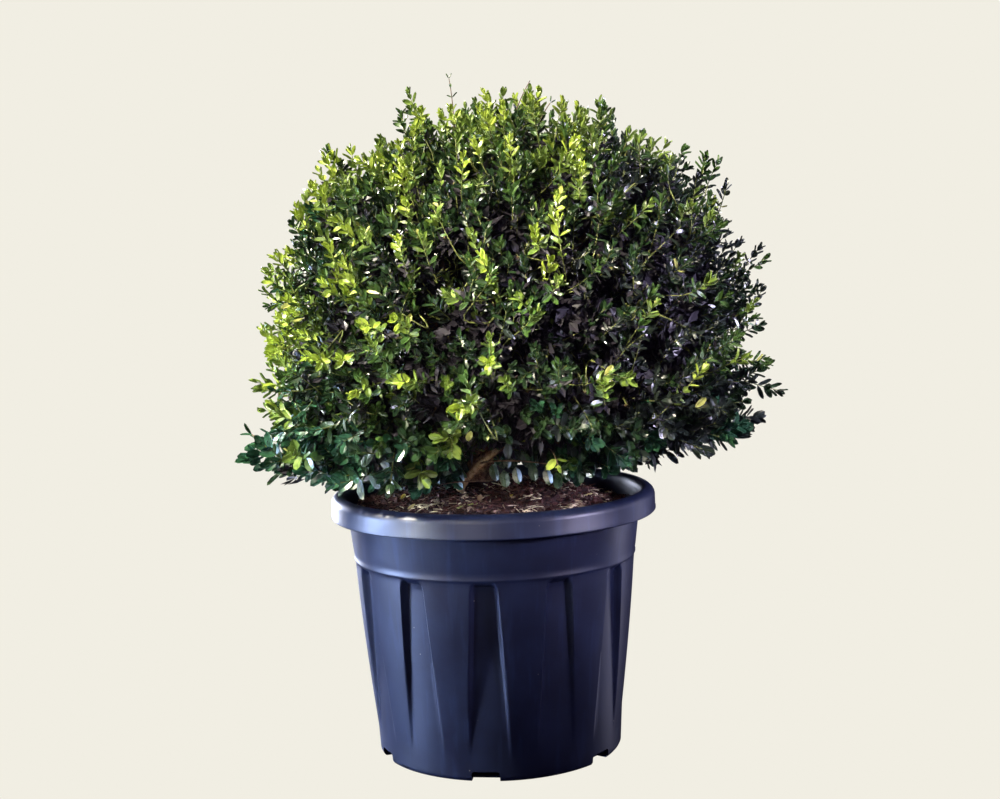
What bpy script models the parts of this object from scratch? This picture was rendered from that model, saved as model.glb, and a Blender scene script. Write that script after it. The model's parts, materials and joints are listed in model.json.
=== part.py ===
# Potted japanese holly ball: a clipped evergreen shrub in a black plastic container.
# Metres, +Z up. The origin is the centre of the pot's flat underside; the front faces -Y.
# Azimuths are measured from the front, positive towards +X.

import math
import random

import bmesh
import bpy
from mathutils import Vector, noise

GAP = 0.0003  # clearance kept between neighbouring pieces

# Pot: a 25-litre nursery container with a turned-out rim, a collar and raised panels
POT_HEIGHT = 0.3077
RIM_RADIUS = 0.190
LIP_BOTTOM_Z = 0.281
LIP_HOLLOW_DEPTH = 0.009
LIP_THICKNESS = 0.0032
COLLAR_TOP_RADIUS = 0.171
COLLAR_BOTTOM_RADIUS = 0.1645
COLLAR_BOTTOM_Z = 0.2306
LEDGE_HEIGHT = 0.005
WALL_TOP_RADIUS = 0.156
WALL_BASE_RADIUS = 0.1432
BASE_RADIUS = 0.1408
BASE_BEVEL = 0.004
WALL_THICKNESS = 0.0025
FLOOR_THICKNESS = 0.003
PANEL_COUNT = 12
PANEL_FIRST_AZIMUTH = math.radians(-49.5)
PANEL_FOOT_Z = 0.030
PANEL_HALF_TOP = math.radians(9.6)
PANEL_HALF_FOOT = math.radians(5.4)
PANEL_FLANK = math.radians(1.2)
PANEL_FADE = 1.6
PANEL_ROWS_Z = (0.085, 0.150)
NOTCH_COUNT = 6
NOTCH_FIRST_AZIMUTH = math.radians(-7.0)
NOTCH_WIDTH = 0.032
NOTCH_HEIGHT = 0.012
NOTCH_CORNER = 0.005
NOTCH_OVERCUT = 0.002
NOTCH_INNER_RADIUS = 0.127
NOTCH_OUTER_RADIUS = 0.155

# Soil: bark and peat, mounded round the foot of the trunk
SOIL_WALL_Z = 0.2875
SOIL_FOOT_INSET = 0.022
SOIL_FOOT_HEIGHT = 0.021
SOIL_LUMPS = 0.0056
SOIL_LUMP_PITCH = 24.0
SOIL_DIP = 0.006
SOIL_COLUMNS = 28
SOIL_RINGS = (0.94, 0.82, 0.66, 0.46)
SEAT_RADIUS = 0.031

# Trunk
FOOT = Vector((-0.016, 0.008, 0.3165))
FORK = Vector((0.002, 0.006, 0.432))
TRUNK_FOOT_RADIUS = 0.0142
TRUNK_FORK_RADIUS = 0.0108
FLARE_RADIUS = 0.0100
FLARE_HEIGHT = 0.013
FLARE_LOBES = 5
FLARE_LOBE_DEPTH = 0.3
FLARE_TURN = math.radians(-35)
TRUNK_SIDES = 14
TRUNK_LEVELS = (0.0, 0.04, 0.09, 0.17, 0.30, 0.48, 0.66, 0.84, 1.0)

# Boughs
BOUGH_SIDES = 7
BOUGH_STEPS = 6
BOUGH_ROOT_RADIUS = 0.0060
BOUGH_TIP_RADIUS = 0.0034
LEADER_ROOT_RADIUS = 0.0082
COLLAR_SWELL = 1.12

# Crown: round in plan, flattened underneath, leaning to +X with its height
CROWN_Z = 0.493
CROWN_X = 0.022
CROWN_LEAN = 0.03
CROWN_RADIUS = 0.281
CROWN_UP = 0.257
CROWN_DOWN = 0.168
FRONT_LIFT = 0.030
FRONT_NARROWING = 3
POWER_UP = 2.3
POWER_DOWN = 5.0
HOLLOW_RADIUS = 0.120
HOLLOW_Z = 0.455
HOLLOW_UP = 0.115
HOLLOW_MARGIN = 0.010
CORE_LEVEL = 0.86
CORE_POINTS = 72
CORE_FULLNESS = 1.12
CORE_STEP = 0.002
CORE_LUMPS = 0.03
CELL_CLEARANCE = 0.0020
CORE_CLEARANCE = 0.003
RIM_CLEARANCE = 0.006

# Foliage masses: name, azimuth and elevation of the middle of each, in degrees
MASSES = (
    ("foliage_top", 0, 90),
    ("foliage_upper_front_right", 40, 40),
    ("foliage_upper_right", 112, 40),
    ("foliage_upper_back", 184, 40),
    ("foliage_upper_left", 256, 40),
    ("foliage_upper_front_left", 328, 40),
    ("foliage_lower_front", 5, -12),
    ("foliage_lower_front_right", 65, -12),
    ("foliage_lower_back_right", 125, -12),
    ("foliage_lower_back", 185, -12),
    ("foliage_lower_back_left", 245, -12),
    ("foliage_lower_front_left", 305, -12),
)
MASS_DEPTH = 0.70

# Where each bough leaves the trunk: its height above the foot, and its turn from its mass's azimuth
BOUGH_ROOTS = {
    "foliage_upper_front_right": (0.076, 0),
    "foliage_upper_right": (0.090, 0),
    "foliage_upper_back": (0.078, 0),
    "foliage_upper_left": (0.092, 0),
    "foliage_upper_front_left": (0.084, 0),
    "foliage_lower_front": (0.052, 0),
    "foliage_lower_front_right": (0.020, -100),
    "foliage_lower_back_right": (0.036, -6),
    "foliage_lower_back": (0.050, 0),
    "foliage_lower_back_left": (0.034, 0),
    "foliage_lower_front_left": (0.053, 0),
}
LEADER_LEAD = 0.050
UPPER_LEAD = 0.025
LOWER_LEAD = 0.035
TIP_LEAD = 0.035
CROSSING_BOUGH = "foliage_lower_front_right"
CROSSING_POINTS = (Vector((-0.030, -0.052, 0.345)), Vector((0.040, -0.060, 0.362)))

# Shoots and leaves
LIMB_POINTS = 46
LIMB_DEPTH = 0.66
LIMB_RADII = (0.003, 0.002)
SHOOT_POINTS = 136
SHOOT_LOWEST = -0.76
SHOOT_SWAY = 0.07
SHOOT_SPARE = (-0.010, 0.008)
SHOOT_RISE = 0.030
SHOOT_ROOT_RADIUS = 0.0027
SHOOT_TIP_RADIUS = 0.0020
LEAF_LENGTH = 0.045
LEAF_WIDTH = 0.027
LEAF_THICKNESS = 0.0022
LEAF_PAIRS = 2
FIRST_PAIR = 0.008
LEAF_PITCH = 0.018
LEAF_SPREAD = math.radians(50)
LEAF_SINK = 0.0006
LAST_LEAF_SINK = 0.0030
TIP_INSET = 0.6  # share of a leaf that a shoot ends short of the surface by
LIMB_CLEARANCE = 0.003

# Tufts that stand out of the clipped surface: azimuth, elevation in degrees, and how far
TUFTS = (
    (-90, 69, 0.030),
    (-88, 42, 0.016),
    (96, 46, 0.024),
    (-84, -18, 0.018),
    (-100, -5, 0.016),
    (-74, -27, 0.026),
    (84, -13, 0.026),
    (20, 80, 0.012),
)
TUFT_WIDTH = 0.16
TUFT_ROOM = 0.11


def clear_scene():
    for item in list(bpy.data.objects):
        bpy.data.objects.remove(item, do_unlink=True)


def make_material(name, color, roughness):
    material = bpy.data.materials.new(name)
    material.use_nodes = True
    shader = material.node_tree.nodes["Principled BSDF"]
    shader.inputs["Base Color"].default_value = (*color, 1.0)
    shader.inputs["Roughness"].default_value = roughness
    shader.inputs["Metallic"].default_value = 0.0
    return material


def add_object(name, mesh_data, material, collection=None):
    mesh = bpy.data.meshes.new(name)
    bmesh.ops.recalc_face_normals(mesh_data, faces=mesh_data.faces)
    mesh_data.to_mesh(mesh)
    mesh_data.free()
    mesh.materials.append(material)
    item = bpy.data.objects.new(name, mesh)
    (collection or bpy.context.scene.collection).objects.link(item)
    return item


def shade_round(item, angle):
    item.data.shade_smooth()
    item.data.set_sharp_from_angle(angle=angle)


def direction(azimuth, elevation=0.0):
    flat = math.cos(elevation)
    return Vector((flat * math.sin(azimuth), -flat * math.cos(azimuth), math.sin(elevation)))


def mix(a, b, t):
    return a + (b - a) * t


def bridge_rings(mesh_data, rings):
    for lower, upper in zip(rings, rings[1:]):
        count = len(lower)
        for i in range(count):
            j = (i + 1) % count
            mesh_data.faces.new((lower[i], lower[j], upper[j], upper[i]))


def closed_tube(path, radii, sides, first=None, last=None):
    """A tube along the path. first and last are the normals of its two flat ends."""
    mesh_data = bmesh.new()
    rings = []
    side = None
    for i, point in enumerate(path):
        before = path[max(i - 1, 0)]
        after = path[min(i + 1, len(path) - 1)]
        along = (after - before).normalized()
        if i == 0 and first is not None:
            along = first
        if i == len(path) - 1 and last is not None:
            along = last
        if side is None:
            side = along.orthogonal().normalized()
        side = (side - along * side.dot(along)).normalized()
        other = along.cross(side)
        ring = []
        for k in range(sides):
            turn = 2 * math.pi * k / sides
            offset = side * math.cos(turn) + other * math.sin(turn)
            ring.append(mesh_data.verts.new(point + offset * radii[i]))
        rings.append(ring)
    bridge_rings(mesh_data, rings)
    mesh_data.faces.new(reversed(rings[0]))
    mesh_data.faces.new(rings[-1])
    return mesh_data


def bezier(points, t):
    rest = list(points)
    while len(rest) > 1:
        rest = [a.lerp(b, t) for a, b in zip(rest, rest[1:])]
    return rest[0]


# ---- Pot -------------------------------------------------------------------------------------


def wall_radius(z):
    return mix(WALL_BASE_RADIUS, WALL_TOP_RADIUS, z / COLLAR_BOTTOM_Z)


def panel_share(z):
    return max(0.0, (z - PANEL_FOOT_Z) / (COLLAR_BOTTOM_Z - PANEL_FOOT_Z))


def panel_radius(z):
    relief = COLLAR_BOTTOM_RADIUS - WALL_TOP_RADIUS
    return wall_radius(z) + relief * (1 - (1 - panel_share(z)) ** PANEL_FADE)


def pot_angles(z, even):
    """The five columns of each panel: its two feet, its two edges and its middle."""
    step = 2 * math.pi / PANEL_COUNT
    half = mix(PANEL_HALF_FOOT, PANEL_HALF_TOP, panel_share(z))
    if even:
        offsets = [step * k / 5 for k in (-2, -1, 0, 1, 2)]
    else:
        offsets = [-half - PANEL_FLANK, -half, 0.0, half, half + PANEL_FLANK]
    return [PANEL_FIRST_AZIMUTH + step * i + offset for i in range(PANEL_COUNT) for offset in offsets]


def pot_rows():
    """Rows of the pot's skin from the middle of its underside, out, up and back down inside.
    Each row is (height, radius at the panels, radius between them, evenly spaced)."""
    ledge_z = COLLAR_BOTTOM_Z - LEDGE_HEIGHT
    rows = [
        (0.0, BASE_RADIUS, BASE_RADIUS, True),
        (BASE_BEVEL, WALL_BASE_RADIUS, WALL_BASE_RADIUS, True),
    ]
    for z in (PANEL_FOOT_Z, *PANEL_ROWS_Z, ledge_z):
        rows.append((z, panel_radius(z), wall_radius(z), False))
    lip_inside = RIM_RADIUS - LIP_THICKNESS
    hollow_top = LIP_BOTTOM_Z + LIP_HOLLOW_DEPTH
    inner_top = COLLAR_TOP_RADIUS - WALL_THICKNESS
    inner_low = WALL_TOP_RADIUS - WALL_THICKNESS
    inner_base = WALL_BASE_RADIUS - WALL_THICKNESS
    rows += [(COLLAR_BOTTOM_Z, COLLAR_BOTTOM_RADIUS, COLLAR_BOTTOM_RADIUS, False)]
    for z, radius in (
        (LIP_BOTTOM_Z, COLLAR_TOP_RADIUS),
        (hollow_top, COLLAR_TOP_RADIUS + 0.001),
        (hollow_top, lip_inside),
        (LIP_BOTTOM_Z, lip_inside),
        (LIP_BOTTOM_Z, RIM_RADIUS),
        (POT_HEIGHT - 0.004, RIM_RADIUS - 0.0005),
        (POT_HEIGHT, RIM_RADIUS - 0.005),
        (POT_HEIGHT - 0.001, inner_top + 0.008),
        (POT_HEIGHT - 0.009, inner_top + 0.003),
        (LIP_BOTTOM_Z, inner_top),
        (COLLAR_BOTTOM_Z + LEDGE_HEIGHT, COLLAR_BOTTOM_RADIUS - WALL_THICKNESS),
        (COLLAR_BOTTOM_Z, inner_low),
        (FLOOR_THICKNESS, inner_base),
    ):
        rows.append((z, radius, radius, True))
    return rows


def notch_cutter():
    """Six rounded mouths under the foot of the wall, as one mesh."""
    half = NOTCH_WIDTH / 2
    outline = (
        (-half, -NOTCH_OVERCUT),
        (-half, NOTCH_HEIGHT - NOTCH_CORNER),
        (-half + NOTCH_CORNER, NOTCH_HEIGHT),
        (half - NOTCH_CORNER, NOTCH_HEIGHT),
        (half, NOTCH_HEIGHT - NOTCH_CORNER),
        (half, -NOTCH_OVERCUT),
    )
    mesh_data = bmesh.new()
    for i in range(NOTCH_COUNT):
        out = direction(NOTCH_FIRST_AZIMUTH + 2 * math.pi * i / NOTCH_COUNT)
        across = Vector((-out.y, out.x, 0.0))
        ends = []
        for radius in (NOTCH_INNER_RADIUS, NOTCH_OUTER_RADIUS):
            corners = [out * radius + across * x + Vector((0, 0, z)) for x, z in outline]
            ends.append([mesh_data.verts.new(corner) for corner in corners])
        bridge_rings(mesh_data, ends)
        mesh_data.faces.new(ends[0])
        mesh_data.faces.new(ends[1])
    return mesh_data


def make_pot(material):
    mesh_data = bmesh.new()
    rings = []
    for z, panel, between, even in pot_rows():
        ring = []
        for i, angle in enumerate(pot_angles(z, even)):
            radius = between if i % 5 in (0, 4) else panel
            ring.append(mesh_data.verts.new(direction(angle) * radius + Vector((0, 0, z))))
        rings.append(ring)
    bridge_rings(mesh_data, rings)
    mesh_data.faces.new(rings[0])
    mesh_data.faces.new(rings[-1])
    pot = add_object("pot", mesh_data, material)
    cutter = add_object("notch_cutter", notch_cutter(), material)
    cutter.hide_render = True
    cutter.display_type = "WIRE"
    cut = pot.modifiers.new("drainage notches", "BOOLEAN")
    cut.operation = "DIFFERENCE"
    cut.object = cutter
    shade_round(pot, math.radians(30))


# ---- Soil ------------------------------------------------------------------------------------


def soil_edge(radius):
    """The soil's radius inside a wall of this radius, which is a prism and not a true cone."""
    sides = 5 * PANEL_COUNT
    return radius * math.cos(math.pi / sides) - 2 * GAP


def soil_side_rows():
    """Rows of (height, radius) up the soil's side, which is set in above the drainage notches."""
    low = WALL_BASE_RADIUS - WALL_THICKNESS
    high = WALL_TOP_RADIUS - WALL_THICKNESS
    foot = mix(low, high, SOIL_FOOT_HEIGHT / (COLLAR_BOTTOM_Z - FLOOR_THICKNESS))
    top = COLLAR_TOP_RADIUS - WALL_THICKNESS
    return (
        (FLOOR_THICKNESS + GAP, soil_edge(low) - SOIL_FOOT_INSET),
        (FLOOR_THICKNESS + SOIL_FOOT_HEIGHT, soil_edge(foot)),
        (COLLAR_BOTTOM_Z - GAP, soil_edge(high)),
        (COLLAR_BOTTOM_Z + LEDGE_HEIGHT + GAP, soil_edge(COLLAR_BOTTOM_RADIUS - WALL_THICKNESS)),
        (LIP_BOTTOM_Z, soil_edge(top)),
        (SOIL_WALL_Z, soil_edge(top)),
    )


def soil_height(point, azimuth, share, seat_z):
    """Height of the mound at this share of the way from the trunk to the wall."""
    lump = noise.noise(point * SOIL_LUMP_PITCH) * SOIL_LUMPS * (1 - share) ** 0.25
    dip = SOIL_DIP * max(0.0, math.sin(azimuth)) * share
    height = mix(SOIL_WALL_Z, seat_z, (1 - share) ** 0.8) + lump - dip
    return min(height, seat_z - 2 * GAP)


def make_soil(material):
    azimuths = [2 * math.pi * i / SOIL_COLUMNS for i in range(SOIL_COLUMNS)]
    mesh_data = bmesh.new()
    rings = []
    for z, radius in soil_side_rows():
        ring = [direction(azimuth) * radius + Vector((0, 0, z)) for azimuth in azimuths]
        rings.append([mesh_data.verts.new(point) for point in ring])
    seat_z = FOOT.z - GAP
    edge = soil_edge(COLLAR_TOP_RADIUS - WALL_THICKNESS)
    for share in SOIL_RINGS:
        middle = Vector((FOOT.x, FOOT.y, 0)) * (1 - share) ** 0.5
        ring = []
        for azimuth in azimuths:
            point = middle + direction(azimuth) * edge * share
            point.z = soil_height(point, azimuth, share, seat_z)
            ring.append(mesh_data.verts.new(point))
        rings.append(ring)
    seat = Vector((FOOT.x, FOOT.y, seat_z))
    rings.append([mesh_data.verts.new(seat + direction(azimuth) * SEAT_RADIUS) for azimuth in azimuths])
    bridge_rings(mesh_data, rings)
    mesh_data.faces.new(rings[0])
    mesh_data.faces.new(rings[-1])
    soil = add_object("soil", mesh_data, material)
    shade_round(soil, math.radians(50))


# ---- Trunk and boughs ------------------------------------------------------------------------


def trunk_middle(height):
    share = height / (FORK.z - FOOT.z)
    sway = math.sin(math.pi * share) * 0.003
    return FOOT.lerp(FORK, share) + Vector((0.0, -sway, 0.0))


def trunk_radius(height, azimuth):
    """Radius of the trunk, with the lobes of its root flare."""
    taper = mix(TRUNK_FOOT_RADIUS, TRUNK_FORK_RADIUS, height / (FORK.z - FOOT.z))
    flare = FLARE_RADIUS * math.exp(-height / FLARE_HEIGHT)
    return taper + flare * (1 + FLARE_LOBE_DEPTH * (math.cos(FLARE_LOBES * (azimuth - FLARE_TURN)) - 1))


def make_trunk(material):
    mesh_data = bmesh.new()
    rings = []
    for share in TRUNK_LEVELS:
        height = share * (FORK.z - FOOT.z)
        ring = []
        for k in range(TRUNK_SIDES):
            azimuth = 2 * math.pi * k / TRUNK_SIDES
            point = trunk_middle(height) + direction(azimuth) * trunk_radius(height, azimuth)
            ring.append(mesh_data.verts.new(point))
        rings.append(ring)
    bridge_rings(mesh_data, rings)
    mesh_data.faces.new(rings[0])
    mesh_data.faces.new(rings[-1])
    trunk = add_object("trunk", mesh_data, material)
    shade_round(trunk, math.radians(50))


def bough_root(height, azimuth, root_radius):
    """The middle of a bough's root, just clear of the trunk all round its rim."""
    middle = trunk_middle(height)
    toward = direction(azimuth)
    reach = 0.0
    for rim in (-root_radius, 0.0, root_radius):
        lean = (trunk_middle(height + rim) - middle).dot(toward)
        reach = max(reach, lean + trunk_radius(height + rim, azimuth))
    return middle + toward * (reach + GAP)


def bough_paths(centres):
    """For each mass: the bough's path, its radii, and the directions that its two ends face."""
    paths = []
    for centre, (name, azimuth, elevation) in zip(centres, MASSES):
        if name in BOUGH_ROOTS:
            height, turn = BOUGH_ROOTS[name]
            root_radius = BOUGH_ROOT_RADIUS
            root_azimuth = math.radians(azimuth + turn)
            first = direction(root_azimuth)
            start = bough_root(height, root_azimuth, root_radius * COLLAR_SWELL)
            lead = UPPER_LEAD if elevation > 0 else LOWER_LEAD
        else:
            root_radius = LEADER_ROOT_RADIUS
            first = Vector((0, 0, 1))
            start = FORK + first * GAP
            lead = LEADER_LEAD
        entry = hollow_exit(FORK if name == CROSSING_BOUGH else start, centre)
        last = (centre - entry).normalized()
        controls = [start, start + first * lead]
        if name == CROSSING_BOUGH:
            controls = [start, *CROSSING_POINTS]
        controls += [entry - last * TIP_LEAD, entry]
        path = [bezier(controls, i / BOUGH_STEPS) for i in range(BOUGH_STEPS + 1)]
        radii = [mix(root_radius, BOUGH_TIP_RADIUS, i / BOUGH_STEPS) for i in range(BOUGH_STEPS + 1)]
        radii[0] *= COLLAR_SWELL
        paths.append((path, radii, first, last))
    return paths


# ---- Crown -----------------------------------------------------------------------------------


def crown_axis(z):
    return Vector((CROWN_X + CROWN_LEAN * (z - CROWN_Z), 0.0, z))


def crown_level(point):
    """0 at the crown's middle, 1 on its clipped surface."""
    away = point - crown_axis(point.z)
    flat = math.hypot(away.x, away.y)
    rise = point.z - CROWN_Z
    if rise >= 0:
        half, power = CROWN_UP, POWER_UP
    else:
        facing = max(0.0, -away.y / flat) if flat > 0 else 0.0
        half = CROWN_DOWN - FRONT_LIFT * facing**FRONT_NARROWING
        power = POWER_DOWN
    return ((flat / CROWN_RADIUS) ** power + (abs(rise) / half) ** power) ** (1 / power)


def crown_point(toward, level):
    """The point at this level, from the crown's middle in this direction."""
    middle = crown_axis(CROWN_Z)
    near, far = 0.0, 0.6
    for _ in range(30):
        half = (near + far) / 2
        if crown_level(middle + toward * half) < level:
            near = half
        else:
            far = half
    return middle + toward * near


def in_hollow(point, margin=0.0):
    """The open middle of the crown, which holds the trunk and the boughs."""
    axis = crown_axis(point.z)
    flat = math.hypot(point.x - axis.x, point.y - axis.y) / (HOLLOW_RADIUS + margin)
    rise = max(0.0, point.z - HOLLOW_Z) / (HOLLOW_UP + margin)
    return math.hypot(flat, rise) < 1


def hollow_exit(start, end):
    near, far = 0.0, 1.0
    for _ in range(24):
        half = (near + far) / 2
        if in_hollow(start.lerp(end, half)):
            near = half
        else:
            far = half
    return start.lerp(end, near)


def mass_centres():
    centres = []
    for name, azimuth, elevation in MASSES:
        toward = direction(math.radians(azimuth), math.radians(elevation))
        centres.append(crown_point(toward, MASS_DEPTH))
    return centres


def cell_room(point, k, centres):
    """How far the point lies inside mass k's own space, measured to the nearest neighbour's."""
    room = 1.0
    for j, other in enumerate(centres):
        if j != k:
            middle = (centres[k] + other) / 2
            room = min(room, (centres[k] - other).normalized().dot(point - middle))
    return room


def clears_pot(point):
    return point.z > POT_HEIGHT + RIM_CLEARANCE or math.hypot(point.x, point.y) > RIM_RADIUS + RIM_CLEARANCE


def limb_distance(point, path, radii):
    best = 1.0
    for a, b, radius in zip(path, path[1:], radii):
        along = b - a
        share = min(1.0, max(0.0, (point - a).dot(along) / along.length_squared))
        best = min(best, (point - a.lerp(b, share)).length - radius)
    return best


def golden_directions(count, turn):
    golden = math.pi * (3 - math.sqrt(5))
    found = []
    for i in range(count):
        rise = 1 - (2 * i + 1) / count
        found.append(direction(i * golden + turn, math.asin(rise)))
    return found


def make_core(k, centres):
    """A lumpy, star-shaped pillow inside the mass's own space."""
    centre = centres[k]
    mesh_data = bmesh.new()
    toward = golden_directions(CORE_POINTS, k)
    verts = [mesh_data.verts.new(step) for step in toward]
    bmesh.ops.convex_hull(mesh_data, input=verts)

    def allowed(point):
        inside = crown_level(point) < CORE_LEVEL and not in_hollow(point, HOLLOW_MARGIN)
        return inside and cell_room(point, k, centres) > CORE_CLEARANCE

    limits = []
    for step in toward:
        reach = CORE_STEP
        while allowed(centre + step * (reach + CORE_STEP)):
            reach += CORE_STEP
        limits.append(reach)
    mesh_data.verts.index_update()
    for i, vert in enumerate(verts):
        around = [limits[edge.other_vert(vert).index] for edge in vert.link_edges]
        calm = CORE_FULLNESS * (limits[i] + sum(around)) / (1 + len(around))
        lump = 1 - CORE_LUMPS * (1 - noise.noise(toward[i] * 2.3 + Vector((k, 0, 0))))
        vert.co = centre + toward[i] * min(limits[i], calm) * lump
    return mesh_data


def leaf_shape(root, along, up, sink, size):
    """A pointed oval with a low keel, of six faces, with its root sunk into the shoot."""
    across = along.cross(up).normalized()
    normal = across.cross(along).normalized()
    middle = root + along * LEAF_LENGTH * size * 0.5
    half = LEAF_WIDTH * size / 2
    corners = (
        root - along * sink,
        root + along * LEAF_LENGTH * size,
        middle + across * half,
        middle - across * half,
        middle + normal * LEAF_THICKNESS,
    )
    mesh_data = bmesh.new()
    start, tip, left, right, keel = [mesh_data.verts.new(corner) for corner in corners]
    for face in (
        (start, left, keel),
        (left, tip, keel),
        (tip, right, keel),
        (right, start, keel),
        (start, right, left),
        (tip, left, right),
    ):
        mesh_data.faces.new(face)
    return mesh_data, corners


def tuft_reach(toward):
    """How much further the crown reaches where a tuft stands out."""
    extra = 0.0
    for azimuth, elevation, reach in TUFTS:
        tuft = direction(math.radians(azimuth), math.radians(elevation))
        angle = toward.angle(tuft)
        extra = max(extra, reach * math.exp(-((angle / TUFT_WIDTH) ** 2)))
    return extra


def shoot_ends(rng):
    """Tips of the shoots, spread evenly over the crown, and one on each tuft."""
    ends = []
    for toward in golden_directions(SHOOT_POINTS, 0.4):
        if toward.z > SHOOT_LOWEST:
            sway = Vector([rng.uniform(-SHOOT_SWAY, SHOOT_SWAY) for _ in range(3)])
            ends.append((toward + sway).normalized())
    for azimuth, elevation, reach in TUFTS:
        tuft = direction(math.radians(azimuth), math.radians(elevation))
        ends = [end for end in ends if end.angle(tuft) > TUFT_ROOM]
        ends.append(tuft)
    return ends


def make_mass(k, centres, limbs, foliage, rng, ends):
    name = MASSES[k][0]
    scrap = bpy.data.collections.new(name + " pieces")
    bpy.context.scene.collection.children.link(scrap)
    mass = add_object(name, make_core(k, centres), foliage)
    centre = centres[k]

    def fits(point):
        if cell_room(point, k, centres) < CELL_CLEARANCE or in_hollow(point) or not clears_pot(point):
            return False
        return all(limb_distance(point, path, radii) > LIMB_CLEARANCE for path, radii, _, _ in limbs)

    # One stem, from just past the bough's tip to the middle of the mass
    path, radii, _, last = limbs[k]
    root = path[-1] + last * GAP
    stem = [root, root + last * 0.012, centre]
    add_object("stem", closed_tube(stem, [radii[-1]] * 3, 6, first=last), foliage, scrap)

    # Limbs branch from the stem's end, and each shoot from the nearest limb's end
    hubs = []
    for toward in golden_directions(LIMB_POINTS, 1.1):
        hub = crown_point(toward, LIMB_DEPTH)
        if cell_room(hub, k, centres) > CORE_CLEARANCE and not in_hollow(hub):
            hubs.append(hub)
            add_object("limb", closed_tube([centre, hub], LIMB_RADII, 3), foliage, scrap)
    leaves = 0
    for toward in ends:
        surface = crown_point(toward, 1.0)
        if cell_room(surface, k, centres) < 0:
            continue
        hub = min(hubs, key=lambda point: (point - surface).length)
        away = (surface - crown_axis(CROWN_Z)).normalized()
        tip = surface + away * (rng.uniform(*SHOOT_SPARE) + tuft_reach(toward) - LEAF_LENGTH * TIP_INSET)
        bend = hub.lerp(tip, 0.55) - Vector((0, 0, SHOOT_RISE * (1 - 0.6 * abs(away.z))))
        points = [bezier([hub, bend, tip], t) for t in (0.0, 0.45, 1.0)]
        if not (fits(points[1]) and fits(points[2])):
            continue
        radii = [SHOOT_ROOT_RADIUS, SHOOT_ROOT_RADIUS, SHOOT_TIP_RADIUS]
        add_object("shoot", closed_tube(points, radii, 3), foliage, scrap)
        heading = (points[2] - points[1]).normalized()
        side = heading.orthogonal().normalized()
        turn = rng.uniform(0, math.pi)
        places = [(tip, 0.0, turn, LAST_LEAF_SINK)]
        for pair in range(LEAF_PAIRS):
            spot = tip - heading * (FIRST_PAIR + LEAF_PITCH * pair)
            for half_turn in (0.0, math.pi):
                places.append((spot, LEAF_SPREAD, turn + (pair + 1) * math.pi / 2 + half_turn, LEAF_SINK))
        for spot, spread, spin, sink in places:
            out = side * math.cos(spin) + heading.cross(side) * math.sin(spin)
            along = (heading * math.cos(spread) + out * math.sin(spread)).normalized()
            facing = heading if spread else out
            size = rng.uniform(0.88, 1.08)
            data, corners = leaf_shape(spot, along, facing, sink, size)
            if all(fits(corner) for corner in corners[1:]):
                add_object("leaf", data, foliage, scrap)
                leaves += 1
            else:
                data.free()
    join_pieces(mass, scrap)
    return leaves


def join_pieces(mass, scrap):
    union = mass.modifiers.new("union", "BOOLEAN")
    union.operation = "UNION"
    union.operand_type = "COLLECTION"
    union.collection = scrap
    union.solver = "EXACT"
    graph = bpy.context.evaluated_depsgraph_get()
    joined = bpy.data.meshes.new_from_object(mass.evaluated_get(graph))
    mass.modifiers.clear()
    mass.data = joined
    for item in list(scrap.objects):
        bpy.data.objects.remove(item, do_unlink=True)
    bpy.data.collections.remove(scrap)


def main():
    clear_scene()
    plastic = make_material("black plastic", (0.028, 0.031, 0.052), 0.38)
    compost = make_material("bark compost", (0.075, 0.036, 0.028), 0.95)
    bark = make_material("grey-brown bark", (0.19, 0.14, 0.10), 0.85)
    foliage = make_material("holly leaves", (0.07, 0.15, 0.03), 0.42)

    make_pot(plastic)
    make_soil(compost)
    make_trunk(bark)
    centres = mass_centres()
    limbs = bough_paths(centres)
    for (name, _, _), (path, radii, first, last) in zip(MASSES, limbs):
        data = closed_tube(path, radii, BOUGH_SIDES, first, last)
        bough = add_object(name.replace("foliage", "bough"), data, bark)
        shade_round(bough, math.radians(50))
    rng = random.Random(7)
    ends = shoot_ends(rng)
    total = 0
    for k in range(len(MASSES)):
        total += make_mass(k, centres, limbs, foliage, rng, ends)
    print("leaves:", total)


main()
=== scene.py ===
# Potted japanese holly ball: a clipped evergreen shrub on a short trunk, rooted in bark compost
# in a round black nursery pot. Metres, +Z up, the pot's underside at z = 0, the front facing -Y.
# Azimuths are measured from the front, positive towards +X.

import json
import math

import bpy
import numpy as np
from mathutils import Matrix, Vector, noise

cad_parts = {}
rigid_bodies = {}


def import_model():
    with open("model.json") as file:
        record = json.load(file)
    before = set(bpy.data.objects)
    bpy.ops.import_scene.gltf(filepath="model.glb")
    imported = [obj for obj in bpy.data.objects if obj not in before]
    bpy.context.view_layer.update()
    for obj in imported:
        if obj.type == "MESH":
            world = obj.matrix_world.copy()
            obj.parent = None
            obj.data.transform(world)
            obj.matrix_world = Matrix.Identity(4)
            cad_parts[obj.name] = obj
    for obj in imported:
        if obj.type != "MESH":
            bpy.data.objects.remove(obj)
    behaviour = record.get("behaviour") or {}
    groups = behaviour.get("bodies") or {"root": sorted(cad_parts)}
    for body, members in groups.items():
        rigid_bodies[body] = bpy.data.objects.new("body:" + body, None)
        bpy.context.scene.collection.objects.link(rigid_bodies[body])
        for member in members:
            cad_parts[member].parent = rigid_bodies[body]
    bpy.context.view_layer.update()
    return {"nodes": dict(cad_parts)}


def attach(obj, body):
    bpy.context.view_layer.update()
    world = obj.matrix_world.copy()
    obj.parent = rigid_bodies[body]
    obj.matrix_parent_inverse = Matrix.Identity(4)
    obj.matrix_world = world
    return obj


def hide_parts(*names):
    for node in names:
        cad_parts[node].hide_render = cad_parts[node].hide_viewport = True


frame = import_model()
print("frame:", len(frame["nodes"]), "solids")

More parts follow.
